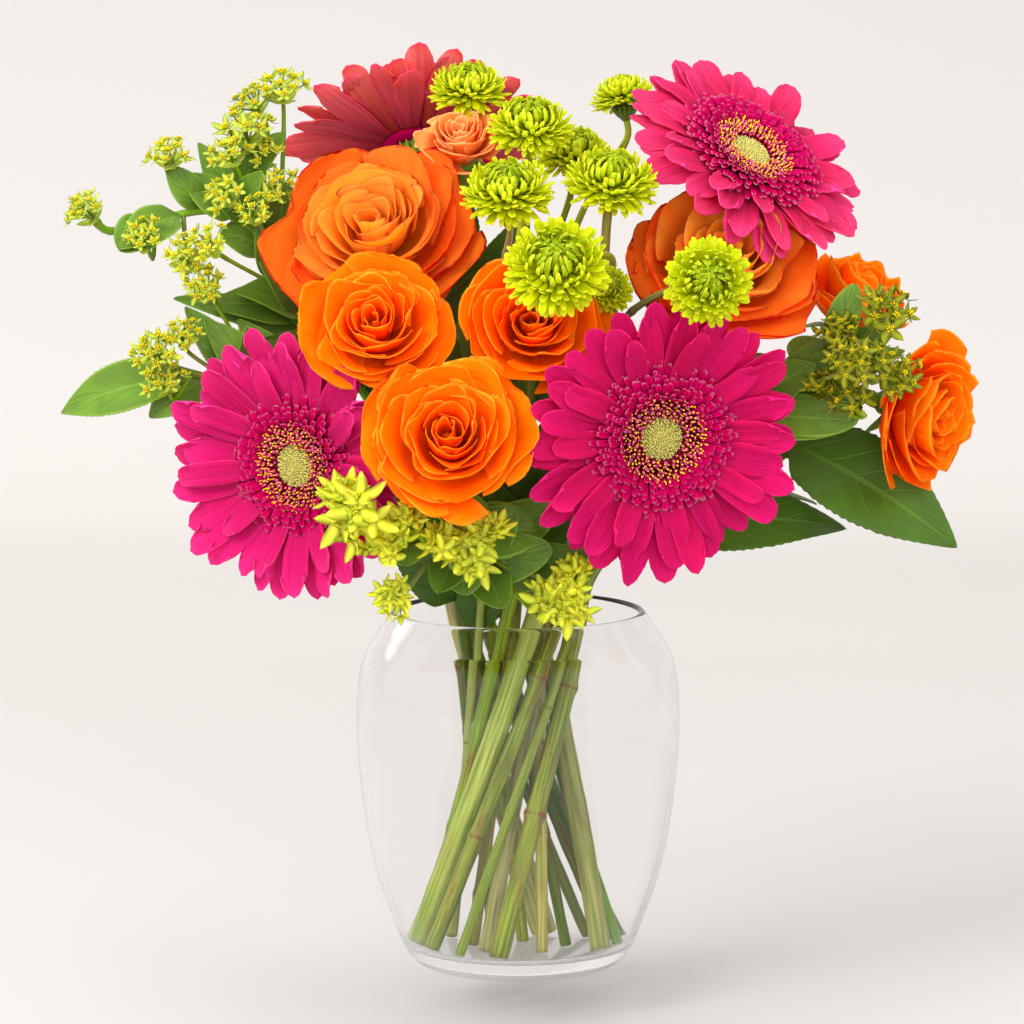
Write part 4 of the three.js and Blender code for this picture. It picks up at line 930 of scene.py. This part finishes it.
def make_eye(name, head, draws):
    """The disc: open florets and golden anthers at golden-angle steps on a ring, round a dome of closed
    buds."""
    piece = Piece()
    skirt = [(0, 0), (13.2, 0), (13, 1.6), (11, 2.4), (8.4, 2.0)]
    dome = [(8.4, 2.0), (7.4, 2.4), (5, 3.5), (2.4, 4.2), (0, 4.3)]
    for number, line in ((0, skirt), (2, dome)):
        base = revolved([(r, h + DISC_BASE) for r, h in line], 36)
        piece.add(placed(base, head), (0, 0.3, 0), (0.3, 1, 0.5), number)

    def on_dome(count, inner, outer, height):
        k = np.arange(count) + 0.5
        radius = np.sqrt(inner**2 + (outer**2 - inner**2) * k / count) + draws.uniform(-0.15, 0.15, count)
        angle = k * GOLDEN + draws.uniform(-0.05, 0.05, count)
        return radius, np.stack([radius * np.cos(angle), radius * np.sin(angle), height(radius)], axis=-1)

    def leaning(at, lean):
        out = at * (1, 1, 0) / np.linalg.norm(at[:, :2], axis=1)[:, None]
        return unit(out * lean + (0, 0, 1) + draws.normal(0, 0.09, at.shape))

    radius, at = on_dome(*EYE["floret"], lambda r: DISC_BASE + 2.6 + 0.04 * (r - 8) ** 1.3)
    size = draws.uniform(0.5, 0.78, len(at))
    way = leaning(at, 0.07 * (radius - 9)[:, None])
    add_spindles(piece, at - way * 1.6, way, size, 3.6 + size, OPEN_FLORET, draws, 0, head)
    radius, at = on_dome(*EYE["anther"], lambda r: DISC_BASE + 3.0 + 0.04 * (r - 8) ** 1.3)
    size = draws.uniform(0.24, 0.42, len(at))
    way = leaning(at, 0.07 * (radius - 9)[:, None])
    add_spindles(piece, at, way, size, draws.uniform(2.6, 4.2, len(at)), ANTHER, draws, 1, head)
    radius, at = on_dome(*EYE["bud"], lambda r: DISC_BASE + 4.2 - 0.028 * r**2)
    edge = EYE["bud"][2]
    size = 0.36 + 0.12 * radius / edge
    length = 1.5 + 0.8 * (radius / edge) ** 2
    way = leaning(at, -0.12 + 0.02 * radius[:, None])
    add_spindles(piece, at - (0, 0, 0.9), way, size, length, BUD, draws, 2, head)
    piece.made(f"{name}_eye", ["ring_floret", "anther", "eye"], "gerbera_disc", f"{name}_disc")


# ---------------------------------------------------------------- rose

ROSE_ROWS, ROSE_COLUMNS = 19, 25


def rose_sheet(head, draws):
    """The petals of a rose at golden-angle steps, with s from 0 at the heart to 1 outside, v along and u
    across. The radius leaves the foot fast and ever slower, and rolls out near the rim, which stands farther
    out with s. The height climbs with v, is less by up to half outside, and drops where the rim rolls.
    Across, a petal wraps the axis by 94 degrees at the heart and 52 outside, one edge inside its neighbour's,
    with corners rolled back, a pointed middle, creases, waves along the rim and a ruffle at its very edge."""
    openness = head["open"]
    radius, height = head["radius"], head["height"]
    count = int(13 + 0.5 * radius)
    s = column(((np.arange(count) + 0.5) / count) ** 1.05)
    sway = swaying(draws, count)
    v = np.linspace(0, 1, ROSE_ROWS)[None, :, None]
    u = dense_to_edges(ROSE_COLUMNS)[None, None, :]
    reach = np.abs(u)
    frill = 0.02 * np.sin(7 * u + 9 * sway(1)) + 0.014 * np.sin(13 * u + 9 * sway(1))
    outline = 1 - (0.13 + 0.09 * s) * reach**2.6 + (0.04 + 0.05 * s) * (1 - reach) ** 3 + frill * (0.4 + s)
    along = v * outline
    scale = radius / 36
    e = smoothstep(0.6 - 0.15 * s, 1.02, along)
    roll = (1.3 + 5.4 * s * openness) * scale * (1 + sway(0.5))
    drop = (0.3 + 4.6 * s**1.2 * openness) * scale * (1 + sway(0.6))
    rim = radius * (0.11 + 0.89 * s**0.85) * (1 + sway(0.1))
    body = np.maximum(rim - roll, 1.6)
    foot = 1.4 + 1.6 * s
    top = 0.88 + 0.12 * smoothstep(0, 0.3, s) - 0.5 * np.clip((s - 0.3) / 0.7, 0, 1) ** 1.5
    top = height * top * (1 + sway(0.08))
    far = foot + (body - foot) * (1 - (1 - np.minimum(along, 1)) ** 2.4) + roll * e**2
    far = far * (1 - 0.4 * (1 - s) ** 4 * smoothstep(0.5, 1, along))
    high = 1 + top * along ** (0.9 + 0.35 * s) - drop * e**2.2
    phase = 9 * sway(1)
    wave = np.sin(2.9 * u + phase) * along**3 + 0.4 * np.sin(6.3 * u + 2 * phase) * along**5
    crease = (0.4 + sway(0.6)) * np.maximum(0, 1 - np.abs(u - sway(0.4)) / 0.3) ** 1.5 * along**3
    reflex = reach**3 * along**2 * (0.15 + s) * openness
    spiral = 1 + (0.2 - 0.12 * s) * u
    ruffle = (0.35 + s) * np.sin(8.5 * u + 3 * phase) * along**7
    relief = (1.0 + 1.7 * s) * wave + 2.6 * crease * (0.35 + s) + 2.1 * reflex + 0.5 * ruffle
    far = far * spiral + scale * relief
    high = high + scale * (1.8 * (0.3 + s) * np.sin(3.4 * u + phase) * along**4 - 3.2 * reflex + 0.9 * ruffle)
    wrap = np.radians(94 - 42 * s) * (1 + sway(0.15))
    turn = column(np.arange(count) * GOLDEN + draws.uniform(-0.6, 0.6, count) * (1 - 0.6 * s.ravel()))
    angle = turn + wrap * u * (0.42 + 0.58 * np.sqrt(v))
    return round_z(np.maximum(far, 0.3), angle, high), v.ravel(), u.ravel(), s.ravel()


def make_rose(name, head, draws):
    """A rose's petals round a slim core."""
    sheet, v, u, s = rose_sheet(head, draws)
    bloom = Piece()
    bloom.add_sheet(placed(sheet, head), v, u, s, draws, THICK["rose"])
    height = head["height"]
    seat = revolved([(0, 0.1), (5.2, 0.1), (6.4, 3.4), (2.6, height * 0.5), (0, height * 0.7)], 20)
    bloom.add(placed(seat, head), (0, 0.1, 0), (0.5, 0, 0.5))
    slot = "two_tone_petal" if name.startswith("rose_large") else "orange_petal"
    bloom.made(f"{name}_bloom", [head["petal"]], slot, name)


# ---------------------------------------------------------------- button chrysanthemum


BUTTON_FLORETS = 280
BUTTON_ROWS, BUTTON_COLUMNS = 7, 5


def make_button(name, head, draws):
    """Florets at golden-angle steps over a low dome from its top to 108 degrees. Each is a narrow spoon that
    starts inside and grows outwards. The tips of the inner ones turn in over the top, and the outer ones
    reach out."""
    radius = head["radius"]
    count = BUTTON_FLORETS
    k = np.arange(count) + 0.5
    spread = column((k / count) ** 0.6)
    polar = math.radians(108) * spread
    heading = column(k * GOLDEN + draws.uniform(-0.09, 0.09, count))
    v = dense_to_tip(BUTTON_ROWS)[None, :, None]
    u = dense_to_edges(BUTTON_COLUMNS)[None, None, :]
    sway = swaying(draws, count)
    tip = np.clip((v - 0.75) / 0.25, 0, 1)
    width = radius * (0.036 + 0.042 * spread) * (1 + sway(0.2))
    width = width * (0.55 + 0.45 * smoothstep(0, 0.7, v)) * np.sqrt(1 - tip**2.4)
    curl = 0.9 * (1 - spread) ** 0.8 + sway(0.17)
    tilt = polar + 0.22 * smoothstep(0.2, 0.7, v) * spread - curl * v**2.4
    reach = radius * (0.25 + (0.74 + sway(0.1)) * v * (0.74 + 0.26 * spread))
    spoon = 0.5 * width * u**2
    y = width * u + sway(0.7) * v**2
    z = radius * 0.24 + (reach * np.cos(tilt) + spoon * (1 - spread)) * 0.74
    out = reach * np.sin(tilt)
    lift = spoon * spread
    sheet = turned_round_z(points_of(out, y, z + lift), heading)
    bloom = Piece()
    bloom.add_sheet(placed(sheet, head), v.ravel(), u.ravel(), spread.ravel(), draws, THICK["button"])
    side = [(radius * 0.4, radius * 0.16), (radius * 0.36, radius * 0.4)]
    core = [(0, 0.05), (4.4, 0.05), *side, (0, radius * 0.55)]
    bloom.add(placed(revolved(core, 16), head), (0, 0.0, 0), (0.3, 0, 0.5))
    bloom.made(f"{name}_bloom", ["button_petal"], "button_petal", name)


# ---------------------------------------------------------------- stems, cups and leaves


def kind_of(name):
    """The first word of a name: gerbera, rose or button."""
    return name.split("_")[0]


def behind(head, distance):
    """The point behind a bloom's base, down its own axis."""
    return np.asarray(head["at"], float) - distance * unit(np.asarray(head["faces"], float))


def lower_point(stem, z):
    """The point of a stem's straight lower run at a height: on its ring at the waist, leaning along its
    heading."""
    offset, slope = RING[stem["ring"]]
    turn = math.radians(stem["heading"])
    along = slope * (z - WAIST)
    return (
        offset * math.sin(turn) + along * math.cos(turn),
        -offset * math.cos(turn) + along * math.sin(turn),
        z,
    )


def main_path(stem, end_points):
    """A stem's path: up its straight lower run, past the points above the mouth, to its end points."""
    foot = FOOT_HEIGHT + stem["radius"] * RING[stem["ring"]][1]
    lower = [lower_point(stem, z) for z in (foot, *STRAIGHT_UP_TO)]
    return smooth_path([*lower, *stem["via"], *end_points], PATH_STEP)


def add_stalk(piece, path, draws, radius, joint_step, sides=12):
    """A stalk along a path, thinning upwards, with a swelling about every joint step: a bell curve 1.9 mm
    wide. Its lot is (a draw, 1 at a joint, 1 on the cut end)."""
    length = np.linspace(0, 1, len(path)) * np.linalg.norm(np.diff(path, axis=0), axis=1).sum()
    joints = np.cumsum(draws.uniform(0.5, 1.5, 20)) * joint_step
    joint = np.exp(-(((length[:, None] - joints) / 1.9) ** 2)).max(axis=1)
    uneven = 0.03 * np.sin(length / 9 + draws.uniform(0, 6)) + 0.02 * np.sin(length / 3.1)
    thick = radius * (1.06 - 0.16 * length / length[-1] + 0.22 * joint + uneven)
    angle = np.arange(sides) / sides * TURN
    along = np.concatenate([length[:1], length, length[-1:]]) / 100
    grow = points_of(np.cos(angle)[None, None], along[None, :, None], np.sin(angle)[None, None])
    ends = np.concatenate([[0], joint, [0]])
    cut = np.zeros(len(ends))
    cut[:1] = 1
    lot = points_of(draws.random(), np.broadcast_to(ends[None, :, None], grow.shape[:3]), cut[None, :, None])
    piece.add(tube(path, thick, sides), grow, lot)


def bracts(count, line, half, turn=0.0, rows=9, columns=5):
    """Pointed bracts round a cup. Each follows a line of (radius, height) from root to tip, as wide across as
    a half sine wave of its length, and cupped towards the axis."""
    line = smooth_path([(r, h, 0) for r, h in line], 0.5)
    v = np.linspace(0, 1, rows)
    radius = np.interp(v, np.linspace(0, 1, len(line)), line[:, 0])[None, :, None]
    height = np.interp(v, np.linspace(0, 1, len(line)), line[:, 1])[None, :, None]
    u = dense_to_edges(columns)[None, None, :]
    width = half * np.sin(math.pi * (0.16 + 0.84 * v[None, :, None])) ** 0.8
    heading = column((np.arange(count) + turn) / count * TURN)
    return turned_round_z(points_of(radius - 0.12 * half * u**2, width * u, height), heading), v, u.ravel()


CUP_TOP = -0.35
CUPS = {
    "gerbera": [(0, -17), (2.6, -17), (4.4, -15.5), (7.8, -12), (9.8, -7), (10.4, CUP_TOP), (0, CUP_TOP)],
    "rose": [(0, -10.5), (2.2, -10.5), (3.4, -9), (5.2, -6.4), (5.7, -3.6), (5.2, CUP_TOP), (0, CUP_TOP)],
    "button": [(0, -6.5), (1.6, -6.5), (3, -4.8), (4.2, -2.4), (4.5, CUP_TOP), (0, CUP_TOP)],
}
# Rings of bracts or sepals round each cup: count, line of (radius, height), half width.
BRACTS = {
    "gerbera": [
        (22, [(6.2, -15), (9.8, -9), (11.0, -2.5)], 1.5),
        (24, [(8.6, -12), (10.9, -6), (12.4, 0.4)], 1.4),
    ],
    "rose": [(5, [(5.0, -2.4), (9.5, -3.6), (15.4, -8.6)], 3.1)],
    "button": [(14, [(2.6, -5.2), (4.6, -2.8), (5.8, 0.2)], 1.1)],
}


def add_cup(piece, name, draws):
    """The green cup under a bloom, turned round its axis, with its bracts or sepals."""
    head, kind = HEADS[name], kind_of(name)
    cup = revolved(CUPS[kind], 24)
    piece.add(placed(cup, head), (0, 0.4, 0), (draws.random(), 1, draws.random()), 1)
    for row, (count, line, half) in enumerate(BRACTS[kind]):
        sheet, v, u = bracts(count, line, half, 0.5 * row + draws.random())
        piece.add_sheet(placed(sheet, head), v, u, row, draws, THICK["bract"], 1)


def leaf_sheet(root, tip, faces, half, round_outline, draws):
    """A leaf from its root to its tip, arched along its rib and folded up beside it, with v along and u
    across. It bulges between side veins, which lie where 7 v less 1.7 times the distance across is whole. The
    margin has small forward teeth, which a round leaf hasn't."""
    root, tip, faces = (np.asarray(a, float) for a in (root, tip, faces))
    length = np.linalg.norm(tip - root)
    x = (tip - root) / length
    z = unit(faces - (faces @ x) * x)
    y = np.cross(z, x)
    v = np.linspace(0, 1, LEAF_ROWS)[:, None]
    u = dense_to_edges(LEAF_COLUMNS)[None, :]
    if round_outline:
        width = half * (1 - (2 * v - 1) ** 2).clip(0) ** 0.55
    else:
        width = half * np.sin(math.pi * v**0.82).clip(0) ** 0.78 * (0.06 + 0.94 * smoothstep(0.03, 0.2, v))
    tooth = np.abs(u) ** 8 * (0.5 - np.mod(-v * LEAF_TEETH, 1)) * 0.05 * half
    tooth = tooth * np.sin(math.pi * v) * np.sign(u)
    side = width * u + tooth * (0 if round_outline else 1)
    bulge = 0.035 * half * np.abs(np.sin(math.pi * (7 * v - 1.7 * np.abs(u))))
    bulge = bulge * (1 - u**2) * np.sin(math.pi * v)
    wave = 0.07 * half * np.sin(9 * v + draws.uniform(0, 6)) * u * np.abs(u)
    lift = 0.3 * length * v * (1 - v) + 0.2 * width * np.abs(u) + bulge + wave - 0.04 * length * v**3
    sheet = root + length * v[..., None] * x + side[..., None] * y + lift[..., None] * z
    return sheet[None], v.ravel(), u.ravel()


def add_leaf(piece, root, tip, half, faces, draws, finish_number, round_outline=False):
    sheet, v, u = leaf_sheet(root, tip, faces, half, round_outline, draws)
    piece.add_sheet(sheet, v, u, 0, draws, THICK["leaf"], finish_number)


def make_flower_stem(name, stem, draws):
    """A flower stem with its branches, cups and leaves."""
    step = JOINT_STEP[kind_of(name)]
    piece = Piece()
    main = None
    for share, via, carried, radius in [(1, None, stem["head"], stem["radius"]), *stem.get("branches", [])]:
        head, kind = HEADS[carried], kind_of(carried)
        ends = [behind(head, NECK[kind]), behind(head, CUP[kind])]
        if main is None:
            path = main = main_path(stem, ends)
        else:
            path = smooth_path([along_path(main, share), *via, *ends], PATH_STEP)
        add_stalk(piece, path, draws, radius, step)
        add_cup(piece, carried, draws)
    for share, x, y, z, half, *faces in stem.get("leaves", []):
        add_leaf(piece, along_path(main, share), (x, y, z), half, faces, draws, 2)
    piece.made(f"{name}_stalks", [f"{kind_of(name)}_stem", "sepal", "leaf"], "green_stem", name)


# ---------------------------------------------------------------- thorow-wax

# The heads in an umbel, a star's reach and a tuft's radius over the umbel's size, and the finishes.
SPRAY_LOOKS = {
    "thorow_wax_left_upper": dict(heads=10, star=0.58, tuft=0.18, bract="green_bract", floret="gold_floret"),
    "thorow_wax_left_lower": dict(heads=11, star=0.54, tuft=0.2, bract="green_bract", floret="gold_floret"),
    "thorow_wax_front": dict(heads=8, star=1.0, tuft=0.16, bract="lime_bract", floret="lime_floret"),
    "thorow_wax_right": dict(heads=9, star=0.68, tuft=0.16, bract="olive_bract", floret="gold_floret"),
}


def add_umbel(piece, umbel, size, look, draws):
    """An umbel: thin rays from one point to small heads at golden-angle steps on a dome. Each head is a star
    of five pointed bracts round a tuft of florets. A few broader bracts stand where the rays part."""
    at = umbel["at"]
    count = look["heads"]
    k = np.arange(count) + 0.3
    spread = 1.1 * size * np.sqrt(k / count) * draws.uniform(0.85, 1.15, count)
    heading = k * GOLDEN + draws.uniform(0, TURN)
    rise = size * (1.15 - 0.4 * k / count) * draws.uniform(0.8, 1.15, count)
    local = np.stack([spread * np.cos(heading), spread * np.sin(heading), rise], axis=-1)
    places = placed(local, umbel)
    ways = unit(unit(local * (0.75, 0.75, 1.3)) + draws.normal(0, 0.22, local.shape))
    ways = ways @ axes_of(umbel["faces"])
    for place in places:
        ray = smooth_path([at, (np.asarray(at) + place) / 2 + (0, 0, 0.4), place], 2)
        add_stalk(piece, ray, draws, *UMBEL_RAY)
    wide = look["star"] * size
    line = [(0.3, -0.3), (0.5 * wide, 0.0), (wide, 0.42 * wide)]
    star, v, u = bracts(STAR_BRACTS, line, 0.26 * wide, rows=7, columns=3)
    growth = draws.uniform(0.7, 1.15, (count, 1, 1, 1, 1))
    growth = growth * draws.uniform(0.7, 1.15, (1, STAR_BRACTS, 1, 1, 1))
    turned = np.stack([turned_round_z(star, angle) for angle in draws.uniform(0, TURN, count)]) * growth
    turned = turned.reshape(-1, *star.shape[1:])
    stars = set_on(turned, *(np.repeat(each, STAR_BRACTS, axis=0) for each in (places, ways)))
    piece.add_sheet(stars, v, u, 0, draws, THICK["star"], 1)
    k = (np.arange(TUFT_FLORETS) + 0.5) / TUFT_FLORETS
    turn = np.arange(TUFT_FLORETS) * GOLDEN
    tuft = np.stack([np.sqrt(k) * np.cos(turn), np.sqrt(k) * np.sin(turn), 0.5 * (1 - k)], axis=-1)
    tuft = tuft * look["tuft"] * size + (0, 0, 0.04 * size)
    florets = (tuft[None] @ axes_of(ways) + places[:, None]).reshape(-1, 3)
    thick, tall = 0.26 * look["tuft"] * size, 0.7 * look["tuft"] * size
    ways = np.repeat(ways, TUFT_FLORETS, axis=0) + 0.01
    add_spindles(piece, florets, ways, thick, tall, BUD, draws, 2)
    line = [(0.4, -0.6), (0.45 * size, 0.0), (0.95 * size, 0.3 * size)]
    ruff, v, u = bracts(4, line, 0.3 * size, draws.random())
    piece.add_sheet(placed(ruff, umbel), v, u, 1, draws, THICK["star"], 1)


def make_spray(name, spray, draws):
    """A thorow-wax spray with its twigs, umbels and leaves."""
    look = SPRAY_LOOKS[name]
    piece = Piece()
    main = None
    for share, x, y, z, *faces, size in spray["umbels"]:
        umbel = dict(at=(x, y, z), faces=faces)
        ends = [behind(umbel, NECK["wax"]), umbel["at"]]
        if main is None:
            main = main_path(spray, ends)
            add_stalk(piece, main, draws, spray["radius"], JOINT_STEP["wax"])
        else:
            add_stalk(piece, smooth_path([along_path(main, share), *ends], PATH_STEP), draws, *TWIG)
        add_umbel(piece, umbel, size, look, draws)
    for share, x, y, z, half, *faces, is_round in spray["leaves"]:
        add_leaf(piece, along_path(main, share), (x, y, z), half, faces, draws, 3, is_round)
    piece.made(f"{name}_spray", ["wax_stem", look["bract"], look["floret"], "wax_leaf"], "thorow_wax", name)


# ---------------------------------------------------------------- the whole

MAKERS = {"gerbera": make_gerbera, "rose": make_rose, "button": make_button}

make_vase()
make_water()
for seed, (name, head) in enumerate(HEADS.items(), 1):
    MAKERS[kind_of(name)](name, head, np.random.default_rng(seed))
for seed, (name, stem) in enumerate(STEMS.items(), 100):
    make_flower_stem(name, stem, np.random.default_rng(seed))
for seed, (name, spray) in enumerate(SPRAYS.items(), 200):
    make_spray(name, spray, np.random.default_rng(seed))

# ---------------------------------------------------------------- studio


def make_studio():
    """A pale floor that curves up into the wall behind, and the finish of both, which is clear from
    outside. Its tone is painted light: paler farther back, where the lamps light the floor less."""
    profile = smooth_path([(0, -2600, 0), (0, 900, 0), (0, 1500, 90), (0, 1800, 500), (0, 1850, 2600)], 60)
    across = np.array([-4000.0, 4000.0])
    grid = points_of(across[None, :], profile[:, 1:2], profile[:, 2:3]) * MM
    index = np.arange(grid.shape[0] * 2).reshape(-1, 2)
    faces = np.stack([index[:-1, 0], index[:-1, 1], index[1:, 1], index[1:, 0]], axis=1)
    mesh = bpy.data.meshes.new("studio")
    mesh.from_pydata(grid.reshape(-1, 3), [], faces)
    mesh.polygons.foreach_set("use_smooth", np.ones(len(faces), bool))
    paint = Finish("studio_wall", Roughness=0.9, Specular_IOR_Level=0.1)
    # The ramp over depth paints light on the studio: paler farther back, where the lamps light it less.
    depth = paint.node("SeparateXYZ", {0: paint.node("TexCoord", output="Object")}, output="Y")
    (near, _), *_, (far, _) = STUDIO_PAINTED_LIGHT_TONES
    share = paint.scaled(depth, 1 / (far - near), -near / (far - near))
    paint.coloured(paint.ramp(share, *(((y - near) / (far - near), tone) for y, tone in STUDIO_PAINTED_LIGHT_TONES)))
    paint.shown_with(paint.node("BsdfTransparent"), paint.node("NewGeometry", output="Backfacing"))
    mesh.materials.append(paint.material)
    studio = bpy.data.objects.new("studio", mesh)
    bpy.context.collection.objects.link(studio)


def light_the_studio():
    world = bpy.context.scene.world or bpy.data.worlds.new("studio_light")
    bpy.context.scene.world = world
    world.use_nodes = True
    background = world.node_tree.nodes["Background"]
    background.inputs["Color"].default_value = (1.0, 0.99, 0.98, 1)
    background.inputs["Strength"].default_value = 0.9
    put_lamp("key", (-1.55, -1.45, 1.7), (0, 0, 0.22), 1.15, 63, (1.0, 0.99, 0.975))
    put_lamp("fill", (1.9, -1.5, 0.9), (0, 0, 0.22), 1.6, 19, (0.98, 0.99, 1.0))
    put_lamp("front", (0.2, -2.2, 1.0), (0, 0, 0.25), 1.6, 32)
    put_lamp("top", (0.05, -0.1, 2.1), (0, 0, 0.25), 1.4, 15)
    put_lamp("sheen", (-1.5, 1.25, 1.05), (0, 0, 0.22), 0.6, 2.2, mirrored=True)
    view = bpy.context.scene.view_settings
    view.view_transform = "Standard"
    view.look = "None"


make_studio()
light_the_studio()
